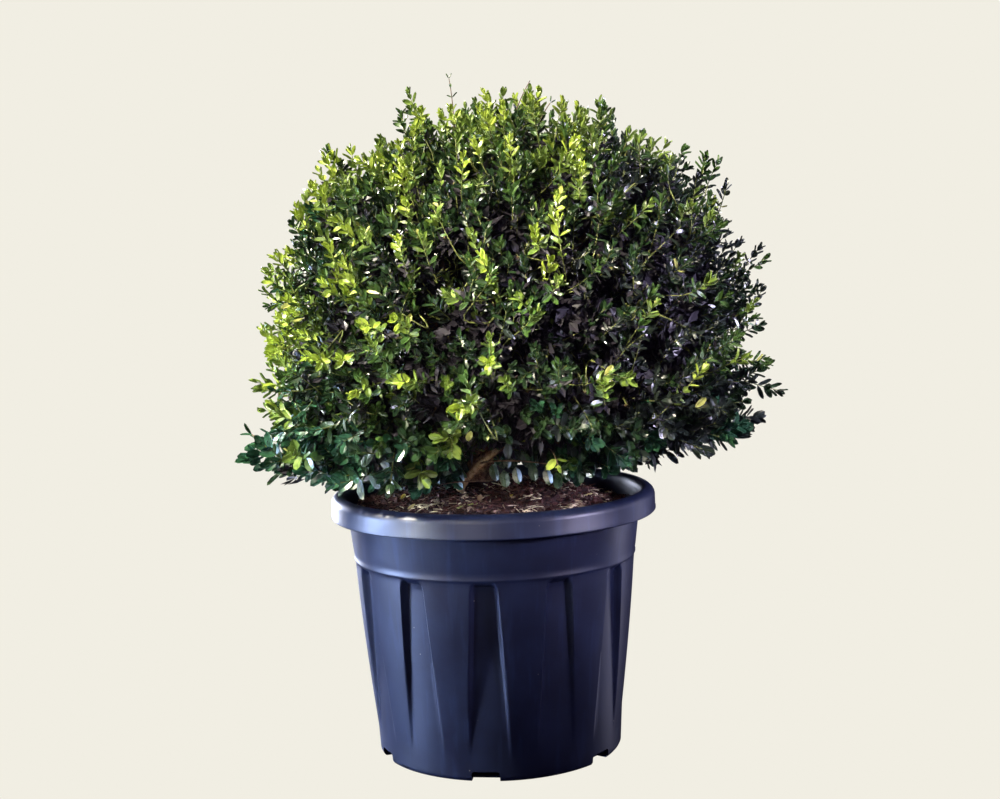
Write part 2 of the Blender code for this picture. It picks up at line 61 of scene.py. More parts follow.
gap = 0.0003  # clearance between neighbouring pieces
foliageNodes = sorted(name for name in frame["nodes"] if name.startswith("foliage_"))
triangleLimit = 190000  # the most that one joined piece of leaves may have


def linear(hexColour):
    channels = [int(hexColour[i:i + 2], 16) / 255 for i in (1, 3, 5)]
    return (*[c / 12.92 if c <= 0.04045 else ((c + 0.055) / 1.055) ** 2.4 for c in channels], 1.0)


def mix(a, b, t):
    return a + (b - a) * t


def smooth(t):
    t = np.clip(t, 0.0, 1.0)
    return t * t * (3 - 2 * t)


def unit(rows):
    return rows / np.maximum(np.linalg.norm(rows, axis=-1, keepdims=True), 1e-9)


def direction(azimuth, elevation=0.0):
    flat = math.cos(elevation)
    return Vector((flat * math.sin(azimuth), -flat * math.cos(azimuth), math.sin(elevation)))


def directionRows(azimuths, elevations):
    flat = np.cos(elevations)
    return np.column_stack((flat * np.sin(azimuths), -flat * np.cos(azimuths), np.sin(elevations)))


def goldenDirections(count, turn):
    steps = np.arange(count)
    rise = 1 - (2 * steps + 1) / count
    return directionRows(steps * math.pi * (3 - math.sqrt(5)) + turn, np.arcsin(rise))


# Smooth noise at each point, with lumps about pitch metres apart
def noiseRows(points, pitch, seed=0.0):
    shift = Vector((seed, seed * 1.7, -seed))
    return np.array([noise.noise(Vector(p) / pitch + shift) for p in points])


def makeActive(piece):
    bpy.ops.object.select_all(action="DESELECT")
    bpy.context.view_layer.objects.active = piece
    piece.select_set(True)


def startEditing(piece):
    makeActive(piece)
    bpy.ops.object.mode_set(mode="EDIT")
    bpy.ops.mesh.select_mode(type="VERT")
    bpy.ops.mesh.select_all(action="DESELECT")


def stopEditing():
    bpy.ops.object.mode_set(mode="OBJECT")


# Turns the faces of the shell in hand outwards and leaves edit mode
def closeShell():
    bpy.ops.mesh.select_all(action="SELECT")
    bpy.ops.mesh.normals_make_consistent(inside=False)
    stopEditing()


# Selects, in edit mode, the vertices whose place passes the test
def selectWhere(piece, test):
    bpy.ops.mesh.select_all(action="DESELECT")
    bpy.ops.object.mode_set(mode="OBJECT")
    for vert in piece.data.vertices:
        vert.select = test(vert.co)
    bpy.ops.object.mode_set(mode="EDIT")


def applyModifier(piece, kind, **settings):
    makeActive(piece)
    modifier = piece.modifiers.new(kind.lower(), kind)
    for name, value in settings.items():
        setattr(modifier, name, value)
    bpy.ops.object.modifier_apply(modifier=modifier.name)


def shadeByAngle(piece, degrees):
    makeActive(piece)
    bpy.ops.object.shade_smooth_by_angle(angle=math.radians(degrees))


def removePiece(piece):
    bpy.data.objects.remove(piece, do_unlink=True)


# A line of (radius, height) points in the XZ plane, drawn by extruding one vertex
def drawProfile(name, points):
    bpy.ops.object.select_all(action="DESELECT")
    bpy.ops.mesh.primitive_plane_add(size=0.01)
    piece = bpy.context.object
    piece.name = piece.data.name = name
    bpy.ops.object.mode_set(mode="EDIT")
    bpy.ops.mesh.select_mode(type="VERT")
    bpy.ops.mesh.select_all(action="SELECT")
    bpy.ops.mesh.merge(type="CENTER")
    bpy.ops.transform.translate(value=(points[0][0], 0, points[0][1]))
    for (r0, z0), (r1, z1) in zip(points, points[1:]):
        bpy.ops.mesh.extrude_region_move(TRANSFORM_OT_translate={"value": (r1 - r0, 0, z1 - z0)})
    bpy.ops.mesh.select_all(action="SELECT")
    return piece


# The profile turned once round the Z axis, with its seam and its poles closed
def spinProfile(name, points, steps):
    piece = drawProfile(name, points)
    bpy.ops.mesh.spin(steps=steps, angle=2 * math.pi, center=(0, 0, 0), axis=(0, 0, 1))
    bpy.ops.mesh.select_all(action="SELECT")
    bpy.ops.mesh.remove_doubles(threshold=0.00002)
    closeShell()
    return piece


def vertexRows(piece):
    rows = np.empty(len(piece.data.vertices) * 3, np.float32)
    piece.data.vertices.foreach_get("co", rows)
    return rows.reshape(-1, 3).astype(float)


def setVertexRows(piece, rows):
    piece.data.vertices.foreach_set("co", np.asarray(rows, np.float32).ravel())
    piece.data.update()


# The faces of a small modelled shape, as lists of vertex numbers
def polygonRows(piece):
    return [list(face.vertices) for face in piece.data.polygons]


# One mesh from arrays: points, and face arrays of three or four corners each
def joinedMesh(name, points, faceSets, sharpPairs=None):
    mesh = bpy.data.meshes.new(name)
    corners = np.concatenate([faces.ravel() for faces in faceSets]).astype(np.int32)
    sizes = np.concatenate([np.full(len(faces), faces.shape[1], np.int32) for faces in faceSets])
    mesh.vertices.add(len(points))
    mesh.vertices.foreach_set("co", np.asarray(points, np.float32).ravel())
    mesh.loops.add(len(corners))
    mesh.loops.foreach_set("vertex_index", corners)
    mesh.polygons.add(len(sizes))
    starts = np.concatenate(([0], np.cumsum(sizes)[:-1])).astype(np.int32)
    mesh.polygons.foreach_set("loop_start", starts)
    mesh.update(calc_edges=True)
    mesh.shade_smooth()
    if sharpPairs is not None:
        ends = np.empty(len(mesh.edges) * 2, np.int32)
        mesh.edges.foreach_get("vertices", ends)
        ends = ends.reshape(-1, 2)
        sharp = sharpPairs(ends)
        mark = mesh.attributes.new("sharp_edge", "BOOLEAN", "EDGE")
        mark.data.foreach_set("value", sharp)
    piece = bpy.data.objects.new(name, mesh)
    bpy.context.scene.collection.objects.link(piece)
    return piece


# Copies of one small shape. frames is (n, 4, 3): place, then the X, Y and Z axes; sizes is (n, 3)
def copyShape(shape, faces, frames, sizes, bends=None):
    local = shape[None, :, :] * sizes[:, None, :]
    if bends is not None:
        share = shape[None, :, 1]
        local[:, :, 2] += bends[:, None] * sizes[:, None, 1] * share * share
    points = frames[:, None, 0, :] + np.einsum("nvk,nkc->nvc", local, frames[:, 1:4, :])
    count, size = points.shape[:2]
    shift = (np.arange(count) * size)[:, None, None]
    sets = []
    for corners in (3, 4):
        chosen = np.array([face for face in faces if len(face) == corners])
        if len(chosen):
            sets.append((chosen[None, :, :] + shift).reshape(-1, corners))
    return points.reshape(-1, 3), sets


# Tubes along paths (n, m, 3) with radii (n, m), closed at the tip by their narrow end ring
def tubeRows(paths, radii, sides):
    count, steps = radii.shape
    along = np.empty_like(paths)
    along[:, 1:-1] = paths[:, 2:] - paths[:, :-2]
    along[:, 0] = paths[:, 1] - paths[:, 0]
    along[:, -1] = paths[:, -1] - paths[:, -2]
    along = unit(along)
    heading = unit(paths[:, -1] - paths[:, 0])
    least = np.eye(3)[np.argmin(np.abs(heading), axis=1)]
    side = unit(np.cross(along, least[:, None, :]))
    other = np.cross(along, side)
    turns = 2 * math.pi * np.arange(sides) / sides
    ring = side[:, :, None, :] * np.cos(turns)[:, None] + other[:, :, None, :] * np.sin(turns)[:, None]
    points = paths[:, :, None, :] + ring * radii[:, :, None, None]
    number = np.arange(count * steps * sides).reshape(count, steps, sides)
    near = number[:, :-1]
    far = number[:, 1:]
    quads = np.stack((near, np.roll(near, -1, 2), np.roll(far, -1, 2), far), axis=-1).reshape(-1, 4)
    if sides == 3:
        caps = [quads, number[:, -1].reshape(-1, 3), number[:, 0, ::-1].reshape(-1, 3)]
    else:
        fans = [np.stack((number[:, row, 0], number[:, row, k], number[:, row, k + 1]), -1)
                for row in (0, -1) for k in range(1, sides - 1)]
        caps = [quads, np.concatenate(fans)]
    return points.reshape(-1, 3), caps


# Points on Bezier curves: controls is a list of (n, 3) arrays, the result (n, steps + 1, 3)
def curveRows(controls, steps):
    found = []
    for t in np.linspace(0, 1, steps + 1):
        rest = list(controls)
        while len(rest) > 1:
            rest = [mix(a, b, t) for a, b in zip(rest, rest[1:])]
        found.append(rest[0])
    return np.stack(found, axis=1)


# Gives a finished piece its material and its place in the frame
def dress(piece, material, nodes):
    piece.data.materials.clear()
    piece.data.materials.append(material)
    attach(piece, "root")
    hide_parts(*nodes)


def newMaterial(name, **settings):
    material = bpy.data.materials.new(name)
    material.use_nodes = True
    shader = material.node_tree.nodes["Principled BSDF"]
    for label, value in settings.items():
        shader.inputs[label.replace("_", " ")].default_value = value
    return material, shader


def addNode(material, kind, settings=None, links=None):
    node = material.node_tree.nodes.new(kind)
    for label, value in (settings or {}).items():
        if label in node.inputs.keys():
            node.inputs[label].default_value = value
        else:
            setattr(node, label, value)
    for label, source in (links or {}).items():
        material.node_tree.links.new(source, node.inputs[label])
    return node


# Object coordinates in metres, stretched where a pattern runs along the piece
def objectPlace(material, stretch=(1, 1, 1)):
    coords = addNode(material, "ShaderNodeTexCoord")
    mapping = addNode(material, "ShaderNodeMapping", {"Scale": stretch}, {"Vector": coords.outputs["Object"]})
    return mapping.outputs["Vector"]


def setRamp(ramp, stops):
    marks = ramp.color_ramp.elements
    while len(marks) < len(stops):
        marks.new(0.5)
    for mark, (place, colour) in zip(marks, stops):
        mark.position = place
        mark.color = linear(colour)


# A noise pattern with patches about this many millimetres across
def addNoise(material, place, millimetres, detail, roughness=0.5):
    settings = {"Scale": 1000.0 / millimetres, "Detail": detail, "Roughness": roughness}
    return addNode(material, "ShaderNodeTexNoise", settings, {"Vector": place}).outputs["Fac"]


# Lets a pattern vary the roughness between two values
def addGloss(material, shader, pattern, least, most):
    gloss = addNode(material, "ShaderNodeMapRange", {"To Min": least, "To Max": most}, {"Value": pattern})
    material.node_tree.links.new(gloss.outputs["Result"], shader.inputs["Roughness"])


# Gives a surface the relief of a pattern, this deep in metres
def addRelief(material, shader, pattern, strength, depth):
    bump = addNode(material, "ShaderNodeBump", {"Strength": strength, "Distance": depth}, {"Height": pattern})
    material.node_tree.links.new(bump.outputs["Normal"], shader.inputs["Normal"])


# One colour laid over another as far as the share says
def coverColour(material, under, colour, share):
    cover = addNode(material, "ShaderNodeMix", {"data_type": "RGBA"}, {"Factor": share})
    material.node_tree.links.new(under, cover.inputs[6])
    cover.inputs[7].default_value = linear(colour)
    return cover.outputs[2]


potFinish = {
    "deep": "#12162A", "body": "#1A223B", "scuffed": "#334063", "dust": "#8A8478",
    "roughness": (0.30, 0.50), "cloudMm": 70, "streakMm": 9, "speckMm": 26, "grainMm": 0.9,
}


def potPlastic():
    # Moulded polypropylene, black with a navy cast: a satin skin, rubbed and a little dusty from the yard
    material, shader = newMaterial("moulded_polypropylene", IOR=1.49)
    place = objectPlace(material)
    along = objectPlace(material, (1, 1, 0.08))
    clouds = addNoise(material, place, potFinish["cloudMm"], 5, 0.6)
    streaks = addNoise(material, along, potFinish["streakMm"], 4)
    body = addNode(material, "ShaderNodeValToRGB", None, {"Fac": clouds})
    setRamp(body, [(0.35, potFinish["deep"]), (0.65, potFinish["body"])])
    rubbed = addNode(material, "ShaderNodeMapRange",
                     {"From Min": 0.55, "From Max": 0.78, "To Min": 0.0, "To Max": 0.35},
                     {"Value": streaks})
    scuffed = coverColour(material, body.outputs["Color"], potFinish["scuffed"], rubbed.outputs["Result"])
    # Specks of dried compost, a millimetre or two across
    cells = addNode(material, "ShaderNodeTexVoronoi", {"Scale": 1000.0 / potFinish["speckMm"]},
                    {"Vector": place})
    specks = addNode(material, "ShaderNodeMapRange",
                     {"From Min": 0.035, "From Max": 0.02, "To Min": 0.0, "To Max": 0.8},
                     {"Value": cells.outputs["Distance"]})
    dusty = coverColour(material, scuffed, potFinish["dust"], specks.outputs["Result"])
    material.node_tree.links.new(dusty, shader.inputs["Base Color"])
    addGloss(material, shader, clouds, *potFinish["roughness"])
    addRelief(material, shader, addNoise(material, place, potFinish["grainMm"], 2), 0.12, 0.0003)
    return material


# A rough natural surface: patches of colour broken up by a finer grain that also gives the relief
def grainyMaterial(name, stops, patchMm, grainMm, roughness, relief):
    material, shader = newMaterial(name, Roughness=roughness)
    place = objectPlace(material)
    patches = addNoise(material, place, patchMm, 6, 0.65)
    grain = addNoise(material, place, grainMm, 4)
    both = addNode(material, "ShaderNodeMath", {"operation": "MULTIPLY_ADD"})
    material.node_tree.links.new(grain, both.inputs[0])
    both.inputs[1].default_value = 0.5
    material.node_tree.links.new(patches, both.inputs[2])
    ramp = addNode(material, "ShaderNodeValToRGB", None, {"Fac": both.outputs[0]})
    setRamp(ramp, stops)
    material.node_tree.links.new(ramp.outputs["Color"], shader.inputs["Base Color"])
    addRelief(material, shader, grain, 0.7, relief)
    return material


leafSkin = {"ior": 1.50, "wax": 0.6, "waxRoughness": 0.33, "mottleMm": 7, "veinMm": 1.6}


# A waxy evergreen leaf: mottled green, glossy where the wax is thick, passing a little light
def leafMaterial(name, upper, lower, roughness, glow):
    material, shader = newMaterial(name, IOR=leafSkin["ior"], Coat_Weight=leafSkin["wax"],
                                   Coat_Roughness=leafSkin["waxRoughness"])
    place = objectPlace(material)
    mottle = addNoise(material, place, leafSkin["mottleMm"], 3)
    ramp = addNode(material, "ShaderNodeValToRGB", None, {"Fac": mottle})
    setRamp(ramp, [(0.38, lower), (0.62, upper)])
    material.node_tree.links.new(ramp.outputs["Color"], shader.inputs["Base Color"])
    addGloss(material, shader, mottle, roughness - 0.08, roughness + 0.10)
    addRelief(material, shader, addNoise(material, place, leafSkin["veinMm"], 2), 0.25, 0.0002)
    if glow:
        through = addNode(material, "ShaderNodeBsdfTranslucent", None, {"Color": ramp.outputs["Color"]})
        blend = addNode(material, "ShaderNodeMixShader", {"Fac": glow})
        output = material.node_tree.nodes["Material Output"]
        material.node_tree.links.new(shader.outputs["BSDF"], blend.inputs[1])
        material.node_tree.links.new(through.outputs["BSDF"], blend.inputs[2])
        material.node_tree.links.new(blend.outputs["Shader"], output.inputs["Surface"])
    return material


viewpoint = {
    "place": (0.0115, -1.81, 0.600),
    "pitch": math.radians(5.95),
    "roll": math.radians(-1.79),
    "lens": 55.9, "sensor": 36.0,
}


def makeCamera():
    data = bpy.data.cameras.new("camera")
    data.lens = viewpoint["lens"]
    data.sensor_width = viewpoint["sensor"]
    camera = bpy.data.objects.new("camera", data)
    bpy.context.scene.collection.objects.link(camera)
    aim = Matrix.Rotation(math.pi / 2 - viewpoint["pitch"], 4, "X")
    roll = Matrix.Rotation(viewpoint["roll"], 4, "Z")
    camera.matrix_world = Matrix.Translation(viewpoint["place"]) @ aim @ roll
    bpy.context.scene.camera = camera


studio = {
    "paper": "#F1EEE3",
    "paperGlow": 1.0,
    "radius": 4.2, "cove": 1.4, "height": 5.0, "coveSteps": 12, "columns": 96,
    "dimLight": "#1B1626", "dimStrength": 1.0,
}

# name, place, aim, width, height, watts, colour, spread in degrees, reach: "through" casts no shadow
# and "gloss" is seen in reflections alone
studioLights = (
    ("key", (-2.12, -0.60, 2.22), (0.00, -0.05, 0.45), 0.12, 0.12, 265.0, "#FFF7E0", 180, "all"),
    ("left_panel", (-1.75, -0.10, 0.12), (0.0, 0.0, 0.12), 0.80, 0.70, 3.9, "#AFC8FF", 26, "all"),
    ("left_sheen", (-2.20, -0.60, 0.85), (0.0, 0.0, 0.42), 1.40, 1.40, 27.0, "#E8F2FF", 180, "gloss"),
    ("right_panel", (1.60, 0.80, 0.35), (0.0, 0.0, 0.40), 0.35, 1.90, 7.5, "#DDDCFF", 180, "all"),
    ("right_fill", (2.00, -1.00, 1.00), (0.10, 0.0, 0.48), 0.50, 0.50, 3.0, "#CFC8EC", 20, "all"),
    ("left_rim", (-1.10, 1.60, 0.22), (0.0, 0.0, 0.15), 0.45, 1.00, 3.0, "#DFE6FF", 28, "all"),
    ("low_left_fill", (-1.80, -1.30, 0.75), (-0.15, -0.12, 0.41), 0.30, 0.30, 0.55, "#F2F8FF", 12, "all"),
    ("top_rim", (0.30, 1.35, 1.90), (0.0, 0.0, 0.60), 0.70, 0.45, 5.0, "#FFF8EC", 180, "all"),
    ("soil_beam", (-0.45, -1.75, 0.72), (0.00, -0.10, 0.33), 0.25, 0.15, 0.08, "#FFF0E0", 20, "all"),
    ("crown_beam", (-1.20, -2.00, 1.80), (0.11, -0.15, 0.475), 0.06, 0.06, 0.7, "#FFF6DC", 11, "all"),
    ("bough_beam", (0.10, -1.70, 0.62), (0.005, -0.08, 0.360), 0.05, 0.05, 0.006, "#FFE9CC", 4.5, "all"),
    ("hollow_fill", (0.40, -2.30, 0.95), (0.0, 0.0, 0.40), 2.00, 2.00, 2.8, "#BFAEEE", 180, "through"),
)


# A seamless sheet of cream paper all round: a flat floor that curves up into the wall
def makeStage():
    turns = [math.pi / 2 * i / studio["coveSteps"] for i in range(studio["coveSteps"] + 1)]
    corner = [(studio["radius"] - studio["cove"] * (1 - math.sin(t)), studio["cove"] * (1 - math.cos(t)))
              for t in turns]
    points = [(0.0, 0.0)] + corner + [(studio["radius"], studio["height"]), (0.0, studio["height"])]
    paper = spinProfile("studio_paper", points, studio["columns"])
    paper.data.flip_normals()
    paper.data.shade_smooth()
    material, shader = newMaterial("matt_backdrop_paper", Roughness=1.0)
    shader.inputs["Base Color"].default_value = (0.0, 0.0, 0.0, 1.0)
    shader.inputs["Specular IOR Level"].default_value = 0.0
    shader.inputs["Emission Color"].default_value = linear(studio["paper"])
    shader.inputs["Emission Strength"].default_value = studio["paperGlow"]
    paper.data.materials.append(material)
    # The paper is only seen: it throws no light or shade of its own on the plant
    paper.visible_diffuse = False
    paper.visible_glossy = False
    paper.visible_shadow = False
    world = bpy.data.worlds.new("dim studio")
    bpy.context.scene.world = world
    world.use_nodes = True
    back = world.node_tree.nodes["Background"]
    back.inputs["Color"].default_value = linear(studio["dimLight"])
    back.inputs["Strength"].default_value = studio["dimStrength"]


def makeLights():
    for name, place, aim, width, height, watts, colour, spread, reach in studioLights:
        data = bpy.data.lights.new(name, "AREA")
        data.shape = "RECTANGLE"
        data.size = width
        data.size_y = height
        data.energy = watts
        data.color = linear(colour)[:3]
        data.spread = math.radians(spread)
        data.use_shadow = reach != "through"
        light = bpy.data.objects.new(name, data)
        bpy.context.scene.collection.objects.link(light)
        light.location = place
        light.rotation_euler = (Vector(aim) - Vector(place)).to_track_quat("-Z", "Y").to_euler()
        light.visible_camera = False
        light.visible_diffuse = reach != "gloss"


makeCamera()
makeStage()
makeLights()
bpy.context.scene.view_settings.view_transform = "Standard"
print("studio: camera, paper and", len(studioLights), "lights")


pot = {
    "height": 0.3077, "rim": 0.190, "lipBottom": 0.281, "lipHollow": 0.290, "lipThickness": 0.0032,
    "collarTop": 0.171, "collarBottom": 0.1645, "collarZ": 0.2306, "wallTop": 0.156, "wallBase": 0.1432,
    "wall": 0.0025, "floor": 0.003, "columns": 480, "wallRows": 44,
    "panels": 12, "firstPanel": math.radians(-49.5), "panelFoot": 0.030, "panelFade": 1.6,
    "halfTop": math.radians(9.6), "halfFoot": math.radians(5.4), "flank": math.radians(1.7),
    "shelf": 0.0085, "cornerSpread": math.radians(1.3),
    "notches": 6, "firstNotch": math.radians(-7.0), "notchWidth": 0.032, "notchHeight": 0.012,
    "notchCorner": 0.004, "notchReach": (0.127, 0.155),
    # radius and height of each point under the foot
    "foot": ((0.0, 0.0015), (0.112, 0.0015), (0.1165, 0.0003), (0.118, 0.0), (0.1392, 0.0),
             (0.1409, 0.0007), (0.1424, 0.0024)),
    # how far in from the rim's edge and down from its top each point of its round is
    "rimRound": ((0.0002, 0.0095), (0.0008, 0.0068), (0.0022, 0.0042), (0.0044, 0.0021), (0.0072, 0.0006),
                 (0.0100, 0.0), (0.0125, 0.0003), (0.0150, 0.0018), (0.0172, 0.0050), (0.0186, 0.0100),
                 (0.0200, 0.0180)),
}


def wallRadius(z):
    return mix(pot["wallBase"], pot["wallTop"], z / pot["collarZ"])


def potProfile():
    wallRows = np.linspace(0.0062, pot["collarZ"] - 0.0018, pot["wallRows"])
    points = [*pot["foot"], (wallRadius(0.0045), 0.0045)]
    points += [(wallRadius(z), z) for z in wallRows]
    edge = pot["collarBottom"]
    points += [(edge + 0.0003, pot["collarZ"] - 0.0006), (edge + 0.0011, pot["collarZ"] + 0.0005),
               (edge + 0.0012, pot["collarZ"] + 0.0022), (edge + 0.0006, pot["collarZ"] + 0.0040)]
    points += [(mix(edge, pot["collarTop"], t) + 0.0004 * (1 - t), mix(pot["collarZ"], pot["lipBottom"], t))
               for t in (0.2, 0.4, 0.6, 0.8, 1.0)]
    rim, top = pot["rim"], pot["height"]
    inside = rim - pot["lipThickness"]
    points += [(pot["collarTop"] + 0.0008, pot["lipHollow"] - 0.002),
               (pot["collarTop"] + 0.003, pot["lipHollow"]),
               (inside - 0.003, pot["lipHollow"]), (inside - 0.0006, pot["lipHollow"] - 0.002),
               (inside, pot["lipBottom"] + 0.0012), (inside + 0.0008, pot["lipBottom"]),
               (rim - 0.0005, pot["lipBottom"]), (rim + 0.0005, pot["lipBottom"] + 0.0010),
               (rim + 0.0005, pot["lipBottom"] + 0.0030), (rim, pot["lipBottom"] + 0.0046)]
    points += [(rim - inward, top - down) for inward, down in pot["rimRound"]]
    points += [(pot["collarTop"] - pot["wall"], pot["lipBottom"]),
               (edge - pot["wall"], pot["collarZ"] + 0.005),
               (pot["wallTop"] - pot["wall"], pot["collarZ"]),
               (pot["wallBase"] - pot["wall"], pot["floor"]), (0.0, pot["floor"])]
    return points


# Lifts twelve tapering panels from the wall, with rounded flanks and a shelf above each recess
def raisePanels(piece):
    rows = vertexRows(piece)
    radius = np.hypot(rows[:, 0], rows[:, 1])
    azimuth = np.arctan2(rows[:, 0], -rows[:, 1])
    z = rows[:, 2]
    outer = (z > 0.0050) & (z < pot["collarZ"] - 0.0015) & (np.abs(radius - wallRadius(z)) < 0.0008)
    period = 2 * math.pi / pot["panels"]
    columns = pot["columns"] // pot["panels"]
    place = (azimuth - pot["firstPanel"]) / period
    middle = np.round(place)
    column = (place - middle) * columns
    share = np.clip((z - pot["panelFoot"]) / (pot["collarZ"] - pot["panelFoot"]), 0, 1)
    top = smooth((z - (pot["collarZ"] - 0.014)) / 0.014)
    half = mix(pot["halfFoot"], pot["halfTop"], share) + pot["cornerSpread"] * top ** 2
    edges = (0, columns * 0.30, columns * 0.40, columns * 0.5)
    offset = np.abs(column)
    turn = np.where(offset < edges[1], half * offset / edges[1],
                    np.where(offset < edges[2],
                             half + pot["flank"] * (offset - edges[1]) / (edges[2] - edges[1]),
                             mix(half + pot["flank"], period / 2,
                                 (offset - edges[2]) / (edges[3] - edges[2]))))
    raised = 1 - smooth((offset - edges[1]) / (edges[2] - edges[1]))
    shelf = smooth((z - (pot["collarZ"] - pot["shelf"])) / (pot["shelf"] * 0.85))
    relief = (pot["collarBottom"] - pot["wallTop"]) * (1 - (1 - share) ** pot["panelFade"])
    lifted = radius + relief * np.maximum(raised, shelf)
    azimuth = np.where(outer, pot["firstPanel"] + period * middle + np.sign(column) * turn, azimuth)
    radius = np.where(outer, lifted, radius)
    setVertexRows(piece, np.column_stack((radius * np.sin(azimuth), -radius * np.cos(azimuth), z)))


# Six rounded drainage mouths under the foot of the wall
def cutNotches(piece):
    near, far = pot["notchReach"]
    for i in range(pot["notches"]):
        turn = pot["firstNotch"] + 2 * math.pi * i / pot["notches"]
        out = direction(turn)
        place = out * (near + far) / 2 + Vector((0, 0, pot["notchHeight"] / 2 - 0.002))
        bpy.ops.object.select_all(action="DESELECT")
        bpy.ops.mesh.primitive_cube_add(size=1, location=place, rotation=(0, 0, turn))
        cutter = bpy.context.object
        cutter.scale = (pot["notchWidth"], far - near, pot["notchHeight"] + 0.004)
        bpy.ops.object.transform_apply(location=True, rotation=True, scale=True)
        startEditing(cutter)
        bpy.ops.mesh.select_mode(type="EDGE")
        stopEditing()
        for edge in cutter.data.edges:
            a, b = [cutter.data.vertices[v].co for v in edge.vertices]
            above = min(a.z, b.z) > pot["notchHeight"] * 0.5
            edge.select = above and abs((a - b).normalized().dot(out)) > 0.9
        bpy.ops.object.mode_set(mode="EDIT")
        bpy.ops.mesh.bevel(offset=pot["notchCorner"], segments=4)
        stopEditing()
        applyModifier(piece, "BOOLEAN", operation="DIFFERENCE", object=cutter, solver="EXACT")
        removePiece(cutter)


def makePot():
    piece = spinProfile("nursery_pot", potProfile(), pot["columns"])
    raisePanels(piece)
    cutNotches(piece)
    shadeByAngle(piece, 38)
    dress(piece, potPlastic(), ["pot"])


makePot()
print("pot: twelve raised panels and six notches")


trunk = {
    "foot": Vector((-0.016, 0.008, 0.3165)), "fork": Vector((0.002, 0.006, 0.432)),
    "footRadius": 0.0142, "forkRadius": 0.0108, "sway": 0.003,
    "flare": 0.010, "flareHeight": 0.013, "lobes": 5, "lobeDepth": 0.3, "lobeTurn": math.radians(-35),
    "sides": 60, "rings": 70, "bark": 0.0011,
}

compost = {
    "wallZ": 0.2875, "lumps": 0.0056, "lumpPitch": 1 / 24, "dip": 0.006, "seat": 0.031,
    "columns": 120, "rings": 44, "crumbs": 0.0022, "crumbPitch": 0.011,
    "shelfShare": 0.885, "footInset": 0.026,
    "chips": 2600, "chipSize": (0.004, 0.013), "fibres": 1100, "straws": 190, "seed": 11,
    "strawHeaps": ((-0.077, -0.097), (0.042, -0.112), (0.092, -0.086)), "heapStraws": 9,
}


def compostEdge():
    return (pot["collarTop"] - pot["wall"]) * math.cos(math.pi / 60) - 2 * gap


# The mound's height at a point: highest at the trunk, lower at the wall, and dipping towards +X
def compostHeight(x, y):
    foot = trunk["foot"]
    edge = compostEdge()
    share = math.hypot(x, y) / edge
    for _ in range(3):
        middle = Vector((foot.x, foot.y)) * max(0.0, 1 - share) ** 0.5
        share = min(1.0, math.hypot(x - middle.x, y - middle.y) / edge)
    seatZ = foot.z - gap
    azimuth = math.atan2(x - middle.x, -(y - middle.y))
    lump = noise.noise(Vector((x, y, 0)) / compost["lumpPitch"]) * compost["lumps"] * (1 - share) ** 0.25
    crumb = noise.noise(Vector((x, y, 3)) / compost["crumbPitch"]) * compost["crumbs"]
    dip = compost["dip"] * max(0.0, math.sin(azimuth)) * share
    height = mix(compost["wallZ"], seatZ, (1 - share) ** 0.8) + lump + crumb - dip
    if math.hypot(x - foot.x, y - foot.y) < compost["seat"] * 1.05:
        return min(height, seatZ)
    return min(height, seatZ + 0.001)


def makeMound():
    bpy.ops.object.select_all(action="DESELECT")
    bpy.ops.mesh.primitive_circle_add(vertices=compost["columns"], radius=compostEdge(), fill_type="NOTHING",
                                      location=(0, 0, compost["wallZ"]))
    piece = bpy.context.object
    piece.name = piece.data.name = "compost_mound"
    bpy.ops.object.transform_apply(location=True, rotation=True, scale=True)
    startEditing(piece)
    bpy.ops.mesh.select_all(action="SELECT")
    for ring in range(compost["rings"]):
        left = 1 - (ring + 1) / (compost["rings"] + 1)
        now = 1 - ring / (compost["rings"] + 1)
        bpy.ops.mesh.extrude_region_move(TRANSFORM_OT_translate={"value": (0, 0, 0)})
        bpy.ops.transform.resize(value=(left / now, left / now, 1), center_override=(0, 0, compost["wallZ"]))
    bpy.ops.mesh.edge_face_add()
    stopEditing()
    rows = vertexRows(piece)
    for row in rows:
        row[2] = compostHeight(row[0], row[1])
    setVertexRows(piece, rows)
    startEditing(piece)
    edge = compostEdge()
    selectWhere(piece, lambda co: math.hypot(co.x, co.y) > edge - 0.0002)
    low = pot["wallBase"] - pot["wall"] - compost["footInset"]
    shelf = compost["shelfShare"]
    bpy.ops.mesh.extrude_region_move(TRANSFORM_OT_translate={"value": (0, 0, 0)})
    bpy.ops.transform.resize(value=(shelf, shelf, 0), center_override=(0, 0, pot["collarZ"]))
    bpy.ops.mesh.extrude_region_move(TRANSFORM_OT_translate={"value": (0, 0, 0)})
    bpy.ops.transform.resize(value=(low / (edge * shelf),) * 2 + (1,), center_override=(0, 0, 0))
    bpy.ops.transform.translate(value=(0, 0, pot["floor"] + gap - pot["collarZ"]))
    bpy.ops.mesh.edge_face_add()
    closeShell()
    shadeByAngle(piece, 50)
    stops = [(0.50, "#1E0F0E"), (0.70, "#3C2420"), (0.92, "#64463A")]
    dress(piece, grainyMaterial("moist_bark_compost", stops, 9, 1.4, 0.95, 0.002), ["soil"])


